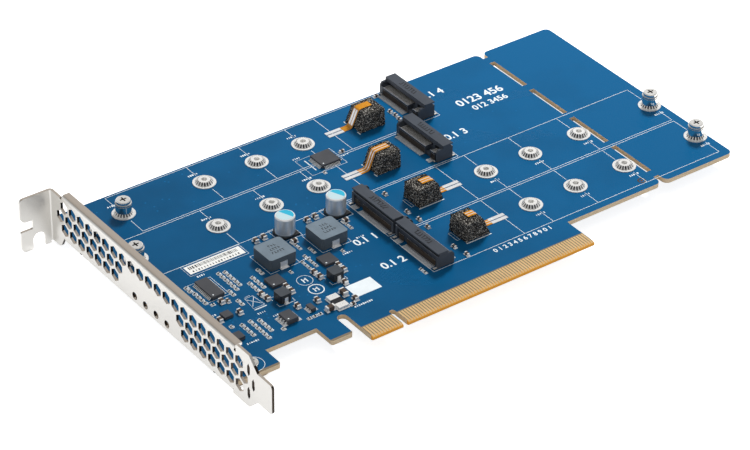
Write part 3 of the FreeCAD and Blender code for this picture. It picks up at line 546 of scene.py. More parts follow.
def mask_material(colours):
    """Light-cured solder mask on glass-epoxy laminate: smooth, glossy and deep blue on the faces, bare tan
    glass and resin on the routed edges and round the contacts, where no mask is printed."""
    material, tree, shader = new_material("solder mask, printed and cured", **{"Specular IOR Level": 0.16})
    place, normal = surface(tree)
    where = split(tree, place)
    flat = calc(tree, "GREATER_THAN", calc(tree, "ABSOLUTE", split(tree, normal)[2]), 0.6)
    masked = calc(tree, "GREATER_THAN", where[1], MASK_EDGE * MM)
    covered = every(tree, flat, masked)
    # Copper areas under the mask are a little lighter than bare laminate; they are some 9 mm across.
    copper = remap(tree, noise(tree, place, 22), 0.35, 0.65)
    # Glass weave of about 0.5 mm shows faintly through the mask.
    weave = noise(tree, place, 0.5, 2.0)
    # Painted sheen: the mask is painted lighter along the card, away from the bracket, towards the back
    # light.
    along = remap(tree, where[0], -60 * MM, 140 * MM, -0.3, 0.75)
    copper_and_painted_sheen = calc(tree, "MULTIPLY_ADD", copper, 0.5, along)
    tone = calc(tree, "MULTIPLY_ADD", weave, 0.3, copper_and_painted_sheen)
    blue = mix(tree, tone, shade(colours.mask, 0.8), shade(colours.mask, 1.16))
    # Layers of glass cloth, 0.2 mm apart, streak the cut edge.
    layers = noise(tree, stretched(tree, place, (0.15, 0.15, 1.0)), 0.2)
    tan = mix(tree, layers, shade(colours.laminate, 0.62), shade(colours.laminate, 1.15))
    # Between the contacts the bare laminate is darker; on the cut bevel the resin is amber.
    between = mix(tree, flat, tan, shade(colours.laminate, 0.26))
    bevel = calc(tree, "LESS_THAN", where[1], BEVEL_WIDTH * MM)
    bare = mix(tree, bevel, between, linear("#e8a440"))
    wire(tree, shader, Base_Color=mix(tree, covered, bare, blue),
         Roughness=remap(tree, covered, 0, 1, 0.75, 0.34), Normal=bumped(tree, weave, 0.004, 0.5))
    return material


def bracket_material(colours):
    """Cold-rolled steel sheet, punched, bent and nickel plated: even grey on the rolled faces, with painted
    shade on the walls of the holes and the cut edges, and a duller painted reflection on the faces that look
    up."""
    material, tree, shader = new_material("steel sheet, punched and nickel plated")
    place, normal = surface(tree)
    where, facing = split(tree, place), split(tree, normal)
    grain = noise(tree, stretched(tree, place, (1, 0.15, 1)), 0.35, 4.0)
    # The flat plate lies between two planes, below the bend of its flange; the walls of its holes and its cut
    # edges face along it.
    back = box("slot_bracket")[0].x
    shaded_walls = every(tree, calc(tree, "LESS_THAN", where[0], (back + PLATE_INNER) * MM),
                 calc(tree, "LESS_THAN", where[2], PLATE_TOP * MM),
                 calc(tree, "GREATER_THAN", where[0], (back + PLATE_OUTER) * MM),
                 calc(tree, "LESS_THAN", calc(tree, "ABSOLUTE", facing[0]), 0.3))
    rolled = mix(tree, grain, shade(colours.bracket, 0.94), shade(colours.bracket, 1.06))
    # Painted shade: the walls of the holes and the cut edges are painted dark brown-grey.
    plated = mix(tree, shaded_walls, rolled, linear("#3a322c"))
    # Painted reflection: faces that look up, such as the top of the bent flange, are painted a duller
    # brown-grey, as if mirroring darker surroundings, and are made less metallic.
    flat = calc(tree, "GREATER_THAN", facing[2], 0.8)
    soft = add_node(tree, "ShaderNodeBevel", {"Radius": 0.12 * MM}, samples=4).outputs[0]
    wire(tree, shader, Base_Color=mix(tree, flat, plated, linear("#b9aea2")),
         Metallic=remap(tree, flat, 0, 1, 0.9, 0.35), Roughness=remap(tree, grain, 0.3, 0.7, 0.32, 0.42),
         Normal=bumped(tree, grain, 0.002, 1.0, soft))
    return material


def turned_metal(name, colour, roughness, cross_low, cross_high):
    """Turned metal with bright plating: a mirror round the sides, satin and pale on the faced top, with
    painted shade in the driver cross, whose floor lies between two heights in millimetres."""
    material, tree, shader = new_material(name, Roughness=roughness)
    place, normal = surface(tree)
    height = split(tree, place)[2]
    flat = remap(tree, split(tree, normal)[2], 0.6, 0.95)
    # Painted shade: flat faces between the two heights, the floor of the driver cross, are painted near
    # black.
    slot = every(tree, calc(tree, "GREATER_THAN", height, cross_low * MM),
                 calc(tree, "LESS_THAN", height, cross_high * MM), flat)
    plated = mix(tree, noise(tree, place, 0.2), shade(colour, 0.92), shade(colour, 1.06))
    wire(tree, shader, Base_Color=mix(tree, slot, plated, linear("#24221f")),
         Metallic=remap(tree, flat, 0, 1, 1.0, 0.3))
    return material


def can_material(colours, centres):
    """Drawn aluminium can: bright satin side with a rolled rim, its flat top pale with one coloured part."""
    material, tree, shader = new_material("aluminium can, drawn and printed", Roughness=0.3)
    place = surface(tree)[0]
    where = split(tree, place)
    top = calc(tree, "GREATER_THAN", where[2], CAN_TOP * MM)
    side, disc = 0.0, 0.0
    for x, y in centres:
        flat = add_node(tree, "ShaderNodeCombineXYZ", {
            "X": calc(tree, "SUBTRACT", where[0], x * MM),
            "Y": calc(tree, "SUBTRACT", where[1], y * MM)}).outputs[0]
        away = add_node(tree, "ShaderNodeVectorMath", {0: flat}, operation="LENGTH")
        inside = calc(tree, "LESS_THAN", away.outputs["Value"], CAN_DISC * MM)
        along = add_node(tree, "ShaderNodeVectorMath", {0: flat, 1: (0.92, 0.38, 0.0)},
                         operation="DOT_PRODUCT")
        beyond = calc(tree, "GREATER_THAN", along.outputs["Value"], 0.45 * MM)
        side = calc(tree, "MAXIMUM", side, every(tree, inside, beyond))
        disc = calc(tree, "MAXIMUM", disc, inside)
    printed, coloured = every(tree, top, disc), every(tree, top, side)
    # Painted highlight: the rolled rim and a ring at the foot are painted near white. Painted shade: the
    # lowest millimetre, over the base, is painted darker grey.
    ends = calc(tree, "MAXIMUM", calc(tree, "GREATER_THAN", where[2], 6.15 * MM),
                calc(tree, "LESS_THAN", where[2], 1.25 * MM))
    tint = mix(tree, noise(tree, place, 0.25), linear("#ccd3d8"), linear("#f4f6f7"))
    tint = mix(tree, ends, tint, linear("#fbfcfc"))
    tint = mix(tree, calc(tree, "LESS_THAN", where[2], 1.0 * MM), tint, linear("#9aa4ab"))
    tint = mix(tree, printed, tint, linear("#c4dde2"))
    wire(tree, shader, Base_Color=mix(tree, coloured, tint, tuple(colours.can_print)),
         Metallic=remap(tree, printed, 0, 1, 0.55, 0.1))
    return material


def foam_material(colours):
    """Open-cell foam, cut from a block: dull black struts, with painted shade deep in the cells and a few
    bright specks painted on as glints.
    """
    material, tree, shader = new_material("foam, cut open-cell", **{
        "Roughness": 0.9, "Specular IOR Level": 0.3})
    pore = add_node(tree, "ShaderNodeAttribute", attribute_name="pore").outputs["Fac"]
    # Painted glints: a few pale specks on the struts.
    bright = remap(tree, noise(tree, surface(tree)[0], 0.3, 2.0), 0.54, 0.64)
    struts = mix(tree, bright, tuple(colours.foam), linear("#dcd7ce"))
    # Painted shade: the deeper a spot lies in its cell, the nearer black it is painted.
    wire(tree, shader, Base_Color=mix(tree, pore, struts, shade(colours.foam, 0.12)))
    return material


def make_materials(colours):
    """All finishes of the card by a short key."""
    return {
        "mask": mask_material(colours),
        "foam": foam_material(colours),
        # Hard gold on nickel, electroplated: warm, satin, with faint wiping marks along each contact; its
        # upright faces are painted a deeper orange as shade.
        "gold": grained("gold, electroplated", tuple(colours.gold), 0.34, 0.4, 0.1, 0.001, (3, 0.4, 1),
                        side=linear("#d89b3e"), Metallic=0.35),
        # Cold-rolled steel sheet, nickel plated: even grey with a very fine rolled grain.
        "bracket": bracket_material(colours),
        # Machined steel with bright nickel plating.
        "screw": turned_metal("steel, turned and nickel plated", linear("#d6d4cf"), 0.16,
                              0.3, box("bracket_screws")[1].z - 0.4),
        # Brass turned and bright nickel plated: mirrors the blue board.
        "post": turned_metal("brass, turned and bright nickel plated", linear("#e2e0dc"), 0.1, 4.5, 5.0),
        # Brass turned and tin plated, with reflowed solder: pale, soft shine.
        "tin": grained("brass, turned and tin plated", tuple(colours.tin), 0.3, 0.3, 0.08, 0.002,
                       Metallic=0.3),
        # Solder, reflowed: bright and smooth.
        "solder": grained("solder, reflowed", linear("#f2f3f4"), 0.22, 0.3, 0.12, 0.004, Metallic=0.35),
        # Flux baked dark, laid as rings in the gaps of a soldered nut, where it is partly flux and partly
        # painted shade.
        "flux": grained("rosin flux, baked", linear("#1c1d20"), 0.6, 0.2, 0.2, 0.002),
        # Glass-filled liquid crystal polymer, moulded: matt grey-black with fine flow grain.
        "socket": grained("liquid crystal polymer, moulded", tuple(colours.socket), 0.55, 0.3, 0.12, 0.006,
                          round_edge=0.06, **{"Specular IOR Level": 0.4}),
        # Painted highlight: the same polymer painted pale along its sharp edges, where they catch the light.
        "painted_highlight": grained("liquid crystal polymer, painted edge highlight", linear("#8f9299"), 0.4, 0.2, 0.1,
                        0.001),
        # Copper alloy strip, stamped and tinned.
        "contact": grained("copper alloy, stamped and tinned", linear("#dcdad6"), 0.3, 0.2, 0.1, 0.001,
                           side=linear("#57493a"), Metallic=0.3),
        # Cast polyimide film: clear amber, smooth and shiny.
        "film": grained("polyimide film, cast", tuple(colours.film), 0.2, 0.8, 0.25, 0.003,
                        **{"Specular IOR Level": 0.5}),
        # Epoxy moulding compound: matt charcoal with filler grain.
        "resin": grained("epoxy, transfer moulded", tuple(colours.resin), 0.5, 0.25, 0.12, 0.006,
                         round_edge=0.05),
        # Iron powder pressed with resin and painted: grey, faintly speckled; its upright sides are painted
        # darker as shade.
        "ferrite": grained("iron powder, pressed and coated", tuple(colours.ferrite), 0.5, 0.3, 0.14, 0.008,
                           round_edge=0.15, side=shade(colours.ferrite, 0.48)),
        # Ferrite-filled resin round the small coils: nearly black, its upright sides painted darker still as
        # shade.
        "dark_ferrite": grained("ferrite resin, moulded", linear("#41464c"), 0.45, 0.3, 0.14, 0.006,
                                round_edge=0.12, side=linear("#23262a")),
        # Fired ceramic, unglazed: brown, dull.
        "ceramic": grained("ceramic, fired", tuple(colours.ceramic), 0.5, 0.2, 0.15, 0.002),
        # Glass-coated thick film: black and smooth.
        "resistor": grained("thick film, glass coated", linear("#26272a"), 0.3, 0.2, 0.1, 0.001),
        # Clear cast epoxy on a white body.
        "led": grained("epoxy, cast clear on white", linear("#e4e6dc"), 0.25, 0.4, 0.04, 0.001),
        # Coated label paper.
        "paper": grained("label paper, coated", linear("#eeeeea"), 0.55, 0.15, 0.03, 0.001),
        # Epoxy ink, screen printed: white, slightly rough.
        "ink": grained("epoxy ink, screen printed", tuple(colours.ink), 0.6, 0.25, 0.06, 0.003),
        # Dark ink of the label's bars.
        "dark_ink": grained("ribbon ink, thermal printed", linear("#2a2a2c"), 0.6, 0.25, 0.1, 0.001),
        # Moulded black nylon under the cans.
        "nylon": grained("nylon, moulded", linear("#26282b"), 0.5, 0.3, 0.12, 0.004),
        # Mask over a copper track stands a little proud and paler.
        "track": grained("solder mask over copper tracks", shade(colours.mask, 1.32), 0.34, 0.6, 0.06,
                         0.002, **{"Specular IOR Level": 0.16}),
        # Bare copper dot with an organic coating.
        "copper": grained("copper, organic coated", linear("#c98a56"), 0.35, 0.3, 0.1, 0.001, Metallic=1.0),
    }


FINISH = {}


# ---- where the print lies on the board, in millimetres ----

# How far the outline of a module's place reaches below and above its row.
MODULE_REACH = {"a": (-10.9, 11.6), "b": (-11.25, 11.0), "c": (-11.5, 10.4), "d": (-11.5, 10.5)}
# Centres of the thin ring, the bold ring and the bare copper dot.
RING_MARK = (-12.0, 35.0)
BOLD_MARK = (-11.8, 29.3)
FIDUCIAL = (106.0, 17.6)
# Start of each row of bars and how many it has.
BAR_ROWS = (
    (-44, 18.5, 6), (-20.5, 18.5, 5), (5.5, 39.3, 5), (-7.5, 15.2, 9), (-37.2, 55.2, 4), (-30, 25.4, 4),
    (-6, 44, 4), (14, 44, 4), (23, 91, 4), (37, 84, 4), (-33, 29, 4), (-46, 36, 4))
# Plain numbers with their centre and letter size.
NUMBERS = (
    ("0.1 1", 15.8, 41.8, 4.4), ("0.1 2", 15.4, 27.0, 4.4), ("0.1 3", 74.6, 73.0, 4.4),
    ("0.1 4", 83.0, 97.0, 4.4), ("0123 456", 95.0, 86.9, 4.9), ("012 3456", 95.6, 82.0, 3.7),
    ("0 1 2 3 4 5 6 7 8 9 0 1", 55.2, 13.95, 2.5))


# ---- operators: one for each group of pieces ----

class CARD_OT_materials(bpy.types.Operator):
    """Make every finish and the trees that repeat small shapes"""
    bl_idname = "card.materials"
    bl_label = "Finishes and Trees"

    def execute(self, context):
        FINISH.update(make_materials(context.scene.card_colours))
        TREES.update(studs=stud_tree(), lines=line_tree(), foam=foam_tree())
        return {"FINISHED"}


class CARD_OT_board(bpy.types.Operator):
    """Finish the board and its edge contacts, and add the tracks, vias and fiducial mark"""
    bl_idname = "card.board"
    bl_label = "Board"

    def execute(self, context):
        sizes = context.scene.card_sizes
        finish_nodes(FINISH["mask"], "circuit_board")
        finish_nodes(FINISH["gold"], "edge_contacts")
        track_height, via_height = 0.014, 0.012
        z, pitch, count = track_height / 2, sizes.track_pitch, 9
        paths = []
        for key in "cd":
            row, datum, _ = socket_place(key)
            for i in range(count):
                y = row + (i - (count - 1) / 2) * pitch
                start = datum + 4.6 + i * 0.5
                paths.append([(start, y - 2, z), (start + 7, y - 2, z), (start + 19 - i * 0.3, y - 14, z),
                              (start + 34 - i * 0.9, y - 17, z)])
        # The tracks of the lower sockets bend round one corner, each in an arc wider than the last.
        for i in range(20):
            radius = 8.5 + i * pitch
            angles = [math.radians(a) for a in range(184 + i, 262 - i // 2, 6)]
            paths.append([(25.0 + radius * math.cos(a), 30.5 + radius * math.sin(a), z) for a in angles])
        lines("mask_over_tracks", paths, sizes.track_width, track_height, FINISH["track"], "solder_mask", 0.4)
        vias = []
        fields = ((-45, 16, 12, 36, 60), (0, 62, 36, 84, 24), (60, 40, 100, 90, 30), (-44, 86, 20, 106, 18))
        for face in (0.0, box("circuit_board")[0].z - via_height):
            rnd = random.Random(7)
            for x0, y0, x1, y1, count in fields:
                for _ in range(count):
                    x, y = rnd.uniform(x0, x1), rnd.uniform(y0, y1)
                    vias.append(stud(x, y, face, sizes.via_width, sizes.via_width, via_height))
        studs("covered_vias", vias, FINISH["track"], "solder_mask", 12, 0.8)
        x, y = FIDUCIAL
        lines("fiducial_ring", [circle(x, y, 0.008, 1.15)], 0.5, 0.016, FINISH["ceramic"], "gold_plate")
        studs("fiducial_dot", [stud(x, y, 0.0, 0.8, 0.8, 0.02)], FINISH["copper"], "gold_plate", 16)
        return {"FINISHED"}


class CARD_OT_print(bpy.types.Operator):
    """Print the module outlines, part outlines, rings and plain numbers on the board"""
    bl_idname = "card.print"
    bl_label = "Board Print"

    def execute(self, context):
        sizes = context.scene.card_sizes
        thick = sizes.print_height
        z = thick / 2
        nuts = [(middle(pair).x, middle(pair).y) for pair in solids("standoff_bases")]
        ink = FINISH["ink"]
        paths = self.modules(nuts, z) + self.parts(z)
        lines("outline_print", paths, sizes.print_width, thick, ink, "label_paper")
        lines("heavy_print", self.heavy(z), 0.4, thick, ink, "label_paper")
        studs("bar_print", self.bars(nuts, thick), ink, "label_paper")
        self.numbers(thick)
        return {"FINISHED"}

    def modules(self, nuts, z):
        """The outline of each module's place, with a line across it at each length."""
        segments = []
        for key in SOCKETS:
            row, datum, facing = socket_place(key)
            low, high = row + MODULE_REACH[key][0], row + MODULE_REACH[key][1]
            near, far = datum - facing * 4.5, datum + facing * 110.3
            segments += [(near, y, far, y) for y in (low, high)]
            across = (near, far, *(datum + facing * length for length in (30.6, 42, 60, 80)))
            segments += [(x, low, x, high) for x in across]
        paths = []
        for segment in segments:
            paths += broken(segment, nuts, 4.6, z)
        return paths

    def parts(self, z):
        """Thin outlines round the label, chips, inductors, cans and chip resistors."""
        frames = [(-38.9, 56.5, -17.6, 62.2), (22.9, 80.0, 36.3, 89.9), (-42.4, 42.2, -34.2, 53.0)]
        frames += [(low.x - 0.5, low.y - 0.5, high.x + 0.5, high.y + 0.5)
                   for low, high in solids("capacitor_bases")]
        for key in "ab":
            low, row = box("foam_pad_" + key)[0], socket_place(key)[0]
            frames.append((low.x - 1.3, row - 2.2, low.x - 0.3, row + 2.3))
        paths = [rect(*corners, z) for corners in frames]
        paths += [circle(*RING_MARK, z, 2.5), circle(-48.4, 9.6, z, 3.6, 24)]
        # A bracket of print on each side of a power inductor stops short of its two terminals.
        for low, high in solids("power_inductors"):
            centre = middle((low, high)).x
            for side in (-1, 1):
                inner, outer = centre + side * 2.1, centre + side * (high.x - centre + 0.5)
                paths.append([(inner, low.y - 0.75, z), (outer, low.y - 0.75, z), (outer, high.y + 0.75, z),
                              (inner, high.y + 0.75, z)])
        for low, high in solids("small_inductors"):
            left, right = low.x - 0.8, high.x + 0.8
            for edge, out in ((low.y, -1), (high.y, 1)):
                inner, outer = edge - out, edge + out * 0.6
                paths.append([(left, inner, z), (left, outer, z), (right, outer, z), (right, inner, z)])
        # A thin line stands on each side of the chip resistors near the bracket.
        for low, high in solids("chip_resistors"):
            if low.x < -17:
                for x in (low.x - 0.35, high.x + 0.35):
                    paths.append([(x, low.y - 0.3, z), (x, high.y + 0.3, z)])
        # The bin with a cross: body, two strokes and a lid.
        bins = (((-32.7, 32.0), (-28.7, 32.0), (-29.3, 37.6), (-32.1, 37.6), (-32.7, 32.0)),
                ((-32.3, 33.0), (-29.3, 37.0)), ((-29.1, 33.0), (-32.1, 37.0)),
                ((-31.6, 38.2), (-29.8, 38.2)))
        return paths + [[(x, y, z) for x, y in stroke] for stroke in bins]

    def heavy(self, z):
        """The bold ring, the bar by the flat chip and under the bin, and the corners of the foam pads."""
        heavy = [circle(*BOLD_MARK, z, 2.4, 24), [(25.6, 82.0, z), (25.6, 88.5, z)],
                 [(-32.9, 31.2, z), (-28.5, 31.2, z)]]
        for key in SOCKETS:
            low, high = box("foam_pad_" + key)
            if key in "ab":
                heavy.append([(low.x, low.y - 0.25, z), (high.x, low.y - 0.25, z)])
            else:
                for start, end in ((low.y, low.y + 1.6), (high.y, high.y - 1.6)):
                    heavy.append([(low.x - 0.15, start, z), (low.x - 0.15, end, z)])
        return heavy

    def bars(self, nuts, thick):
        """The filled field, the bars in the two rings, and a row of plain bars by each nut and chip."""
        marks = [stud(0.45, 22.05, 0.0, 9.3, 6.3, thick)]
        for (x, y), tall in ((RING_MARK, 2.08), (BOLD_MARK, 1.92)):
            marks += [stud(x - 0.6, y, 0.0, 0.4, tall, thick), stud(x + 0.6, y, 0.0, 0.4, tall, thick),
                      stud(x, y + 0.3, 0.0, 1.2, 0.35, thick)]
        rnd = random.Random(3)
        for x, y in nuts:
            side = -1 if y < 61 else 1
            marks += bar_row(x - 2.2, y + side * 5.6, 5, 0.85, rnd, thick)
        for x, y, count in BAR_ROWS:
            marks += bar_row(x, y, count, 0.8, rnd, thick)
        return marks

    def numbers(self, thick):
        """Every plain number as one piece."""
        base, *others = [number("card_number", *place, thick) for place in NUMBERS]
        join(base, others)
        base.name = "number_print"
        base.data.materials.clear()
        base.data.materials.append(FINISH["ink"])
        keep(base, "label_paper")


def rect(x0, y0, x1, y1, z):
    return [(x0, y0, z), (x1, y0, z), (x1, y1, z), (x0, y1, z), (x0, y0, z)]


def stud(x, y, z, wide, deep, tall, turn=0.0):
    """One stud for studs(): its centre, size and turn."""
    return (x, y, z), (wide, deep, tall), turn


def broken(segment, nuts, gap, z):
    """A straight segment along X or Y, without the lengths that nuts cover."""
    along = 0 if segment[1] == segment[3] else 1
    start, end = sorted((segment[along], segment[along + 2]))
    level = segment[1 - along]
    cuts = []
    for nut in nuts:
        off = nut[1 - along] - level
        if abs(off) < gap:
            half = math.sqrt(gap * gap - off * off)
            cuts.append((nut[along] - half, nut[along] + half))
    spans = []
    for low, high in sorted(cuts):
        if low > start:
            spans.append((start, min(low, end)))
        start = max(start, high)
    if start < end:
        spans.append((start, end))
    spans = [span for span in spans if span[1] - span[0] > 0.3]
    return [[(x, level, z) if along == 0 else (level, x, z) for x in span] for span in spans]


def bar_row(x, y, count, height, rnd, thick):
    """A row of plain upright bars, as long as a part's printed number."""
    row = []
    for i in range(count):
        wide = rnd.choice((0.22, 0.34, 0.5))
        tall = height * rnd.choice((0.7, 1.0))
        row.append(stud(x + i * 0.75, y, 0.0, wide, tall, thick))
    return row


def number(name, text, x, y, size, thick):
    """A plain number as a flat raised mesh, centred on a place on the board."""
    curve = bpy.data.curves.new(name, "FONT")
    curve.body = text
    curve.size = size * MM
    curve.extrude = thick * MM / 2
    curve.offset = 0.02 * size * MM
    curve.align_x = "CENTER"
    curve.align_y = "CENTER"
    outline = new_object(name, curve)
    mesh = bpy.data.meshes.new_from_object(outline.evaluated_get(bpy.context.evaluated_depsgraph_get()))
    bpy.data.objects.remove(outline)
    mesh.transform(Matrix.Translation(Vector((x, y, thick / 2)) * MM))
    return new_object(name, mesh)


def join(base, others):
    """Join other meshes into the first and remove them."""
    bm = bmesh.new()
    bm.from_mesh(base.data)
    for other in others:
        bm.from_mesh(other.data)
        bpy.data.objects.remove(other)
    bm.to_mesh(base.data)
    bm.free()


class CARD_OT_bracket(bpy.types.Operator):
    """Finish the slot bracket and its screws"""
    bl_idname = "card.bracket"
    bl_label = "Bracket"

    def execute(self, context):
        finish_nodes(FINISH["bracket"], "slot_bracket")
        finish_nodes(FINISH["screw"], "bracket_screws")
        return {"FINISHED"}


class CARD_OT_standoffs(bpy.types.Operator):
    """Finish the nuts, posts and screws, and lay dark rings in the gaps between the teeth of each nut: partly
    baked flux, partly painted shade
    """
    bl_idname = "card.standoffs"
    bl_label = "Stand-offs"

    def execute(self, context):
        finish_nodes(FINISH["tin"], "standoff_bases")
        finish_nodes(FINISH["post"], "long_posts", "card_screws")
        places = [(middle(pair).x, middle(pair).y) for pair in solids("standoff_bases")]
        # Dark rings in the gaps between the teeth, low and high: partly baked flux, partly painted shade.
        for name, height, radius, width, tall in (
                ("nut_gap_flux_and_shade_low", 0.43, 2.32, 0.86, 0.26), ("nut_gap_flux_and_shade_high", 0.84, 2.06, 0.24, 0.7)):
            rings = [circle(x, y, height, radius) for x, y in places]
            lines(name, rings, width, tall, FINISH["flux"], "tin_plate")
        return {"FINISHED"}


class CARD_OT_sockets(bpy.types.Operator):
    """Finish the module sockets, mark their roofs, lay painted highlights along their free edges and solder
    their tails
    """
    bl_idname = "card.sockets"
    bl_label = "Module Sockets"

    def execute(self, context):
        marks, edges, pads = [], [], []
        rnd = random.Random(5)
        for key in SOCKETS:
            finish_nodes(FINISH["socket"], "socket_housing_" + key)
            finish_nodes(FINISH["contact"], "socket_contacts_" + key)
            row, datum, facing = socket_place(key)
            low, high = box("socket_housing_" + key)
            half = (high.y - low.y) / 2
            roof = high.z - 0.012
            for i in range(7):
                y = row - 4.2 * facing + i * 1.15 * facing
                lean = rnd.choice((0.2, 0.35, -0.3))
                marks.append(stud(datum - facing * 0.75, y, roof, 1.9, 0.36, 0.02, lean))
                x = datum - facing * rnd.choice((0.0, 1.5))
                marks.append(stud(x, y + 0.3, roof, 0.36, 0.75, 0.02, lean))
            # Painted highlight: pale lines along the moulded edges that stand free, the ledge at the back and
            # the rim of the jaw, where they catch the light.
            for x, z, start, end in (
                    (-2.69, 4.252, 0.1 - half, half - 0.1), (3.38, 3.002, 0.9 - half, half - 6.25),
                    (3.38, 3.002, half - 3.75, half - 1.65)):
                edges.append([(datum + facing * x, row + facing * y, z) for y in (start, end)])
            for low, high in solids("socket_contacts_" + key):
                if low.z < 0.01 and high.z > 1:
                    outer = high.x > datum if facing > 0 else low.x < datum
                    x = datum + facing * (4.5 if outer else -3.8)
                    pads.append(stud(x, (low.y + high.y) / 2, 0.0, 1.9, 0.32, 0.13))
        studs("socket_marks", marks, FINISH["flux"], "socket_plastic")
        lines("socket_edge_highlights", edges, 0.13, 0.02, FINISH["painted_highlight"], "socket_plastic")
        studs("tail_solder", pads, FINISH["solder"], "tin_plate", 4, 0.8)
        return {"FINISHED"}


class CARD_OT_foam(bpy.types.Operator):
    """Make the foam pads, the film strips that run over them and their leads"""
    bl_idname = "card.foam"
    bl_label = "Foam and Sensors"

    def execute(self, context):
        sizes = context.scene.card_sizes
        for i, key in enumerate(SOCKETS):
            low, high = box("foam_pad_" + key)
            facing = socket_place(key)[2]
            lean = FOAM_LEAN[key]
            pad = grow("foam_" + key, TREES["foam"], bpy.data.meshes.new("foam_seed"), FINISH["foam"], {
                "Size": (high - low) * MM, "Centre": (low + high) / 2 * MM, "Cell Size": sizes.foam_cell * MM,
                "Cell Depth": sizes.foam_depth * MM, "Seed": 3.7 * (i + 1), "Side": float(facing),
                "Lean": lean * MM, "Taper": 1.2 * MM})
            keep(pad, "foam", "foam_pad_" + key)
            finish_nodes(FINISH["solder"], "sensor_leads_" + key)
            self.film(key, facing, lean, sizes.film_thickness)
        return {"FINISHED"}

    def film(self, key, facing, lean, thick):
        """A film strip from the leads over the leaning face to the pad's top, with two silver conductors."""
        pad_low, pad_high = box("foam_pad_" + key)
        low, high = box("sensor_film_" + key)
        foot = pad_high.x if facing > 0 else pad_low.x
        tail, end = (high.x, low.x) if facing > 0 else (low.x, high.x)
        rise = pad_high.z
        path = smooth([
            (tail, 0.03), (foot + facing * 0.9, 0.03), (foot + facing * 0.3, 0.5),
            (foot - facing * (lean * 0.45 - 0.25), rise * 0.45), (foot - facing * (lean - 0.2), rise - 0.4),
            (foot - facing * (lean + 0.5), rise + 0.06), (end, rise + 0.04)])
        strip = ribbon("film_" + key, path, low.y, high.y, thick, FINISH["film"])
        keep(strip, "polyimide", "sensor_film_" + key)
        lifted = [(x + facing * 0.1, z + 0.1) for x, z in path]
        half = 0.13
        if key == "d":
            # This strip's amber cover is missing on the slope, where its broad conductors lie open.
            lifted = [(x, z) for x, z in lifted if 0.9 < z < rise - 0.2]
            half = 0.4
        centres = [(low.y + high.y) / 2 + across for across in (-0.55, 0.55)]
        line, *others = [
            ribbon("film_line", lifted, y - half, y + half, 0.05, FINISH["solder"]) for y in centres]
        join(line, others)
        line.name = "film_lines_" + key
        keep(line, "tin_plate")


class CARD_OT_power(bpy.types.Operator):
    """Finish the capacitor cans and the inductors"""
    bl_idname = "card.power"
    bl_label = "Power Parts"

    def execute(self, context):
        centres = [(middle(pair).x, middle(pair).y) for pair in solids("capacitor_bases")]
        finish_nodes(can_material(context.scene.card_colours, centres), "capacitor_cans")
        finish_nodes(FINISH["nylon"], "capacitor_bases")
        finish_nodes(FINISH["ferrite"], "power_inductors")
        finish_nodes(FINISH["dark_ferrite"], "small_inductors")
        finish_nodes(FINISH["solder"], "power_inductor_terminals", "small_inductor_terminals")
        marks = []
        rnd = random.Random(9)
        for low, high in solids("power_inductors"):
            centre, top = middle((low, high)), high.z - 0.012
            for row, count in ((2.0, 3), (0.2, 4), (-1.6, 5)):
                for i in range(count):
                    x, y = centre.x + (i - (count - 1) / 2) * 0.95, centre.y + row
                    marks.append(stud(x, y, top, 0.22, 1.1, 0.02, rnd.choice((0.0, 0.3, -0.3))))
                    marks.append(stud(x + 0.25, y + rnd.choice((-0.4, 0.0, 0.4)), top, 0.5, 0.22, 0.02))
        studs("inductor_marks", marks, FINISH["flux"], "ferrite_grey")
        return {"FINISHED"}


class CARD_OT_chips(bpy.types.Operator):
    """Finish the chips and their leads, and put a dot at the first lead of each"""
    bl_idname = "card.chips"
    bl_label = "Chips"

    def execute(self, context):
        dotted = ("quad_flat_chip", "thin_outline_chip", "small_outline_chip", "converter_chips")
        finish_nodes(FINISH["resin"], *dotted, "support_chips")
        finish_nodes(FINISH["tin"], "quad_flat_leads", "thin_outline_leads", "small_outline_leads",
                     "support_chip_leads")
        corners = [pair for node in dotted for pair in solids(node)]
        dots = [stud(low.x + 0.9, low.y + 0.9, high.z - 0.004, 0.5, 0.5, 0.01) for low, high in corners]
        studs("chip_dots", dots, FINISH["ink"], "label_paper", 12)
        return {"FINISHED"}


class CARD_OT_passives(bpy.types.Operator):
    """Finish the small chips and run solder up their ends"""
    bl_idname = "card.passives"
    bl_label = "Small Chips"

    def execute(self, context):
        reach = context.scene.card_sizes.solder_reach * 2
        finish_nodes(FINISH["ceramic"], "chip_capacitors")
        finish_nodes(FINISH["resistor"], "chip_resistors", "input_fuse")
        finish_nodes(FINISH["tin"], "chip_capacitor_ends", "chip_resistor_ends", "input_fuse_ends")
        finish_nodes(FINISH["led"], "status_leds")
        joints = []
        for node in ("chip_capacitor_ends", "chip_resistor_ends", "input_fuse_ends",
                     "power_inductor_terminals", "small_inductor_terminals", "small_outline_leads",
                     "support_chip_leads"):
            for low, high in solids(node):
                centre, size = middle((low, high)), high - low
                joints.append(stud(centre.x, centre.y, 0.0, size.x + reach, size.y + reach,
                                   min(0.3, size.z * 0.35)))
        studs("solder_joints", joints, FINISH["solder"], "tin_plate", 4, 0.62)
        return {"FINISHED"}


class CARD_OT_label(bpy.types.Operator):
    """Finish the label and print plain bars on it"""
    bl_idname = "card.label"
    bl_label = "Label"

    def execute(self, context):
        finish_nodes(FINISH["paper"], "serial_label")
        low, high = box("serial_label")
        rnd = random.Random(11)
        bars = []
        x, z, thick = low.x + 1.2, high.z - 0.002, 0.008
        while x < high.x - 1.4:
            wide = rnd.choice((0.14, 0.14, 0.22, 0.34))
            bars.append(stud(x, high.y - 1.35, z, wide, 1.5, thick))
            x += wide + rnd.choice((0.16, 0.24, 0.34))
        for i in range(17):
            bars.append(stud(low.x + 1.6 + i * 1.03, low.y + 0.95, z, rnd.choice((0.3, 0.5)), 0.8, thick))
        studs("label_bars", bars, FINISH["dark_ink"], "resistor_black")
        return {"FINISHED"}


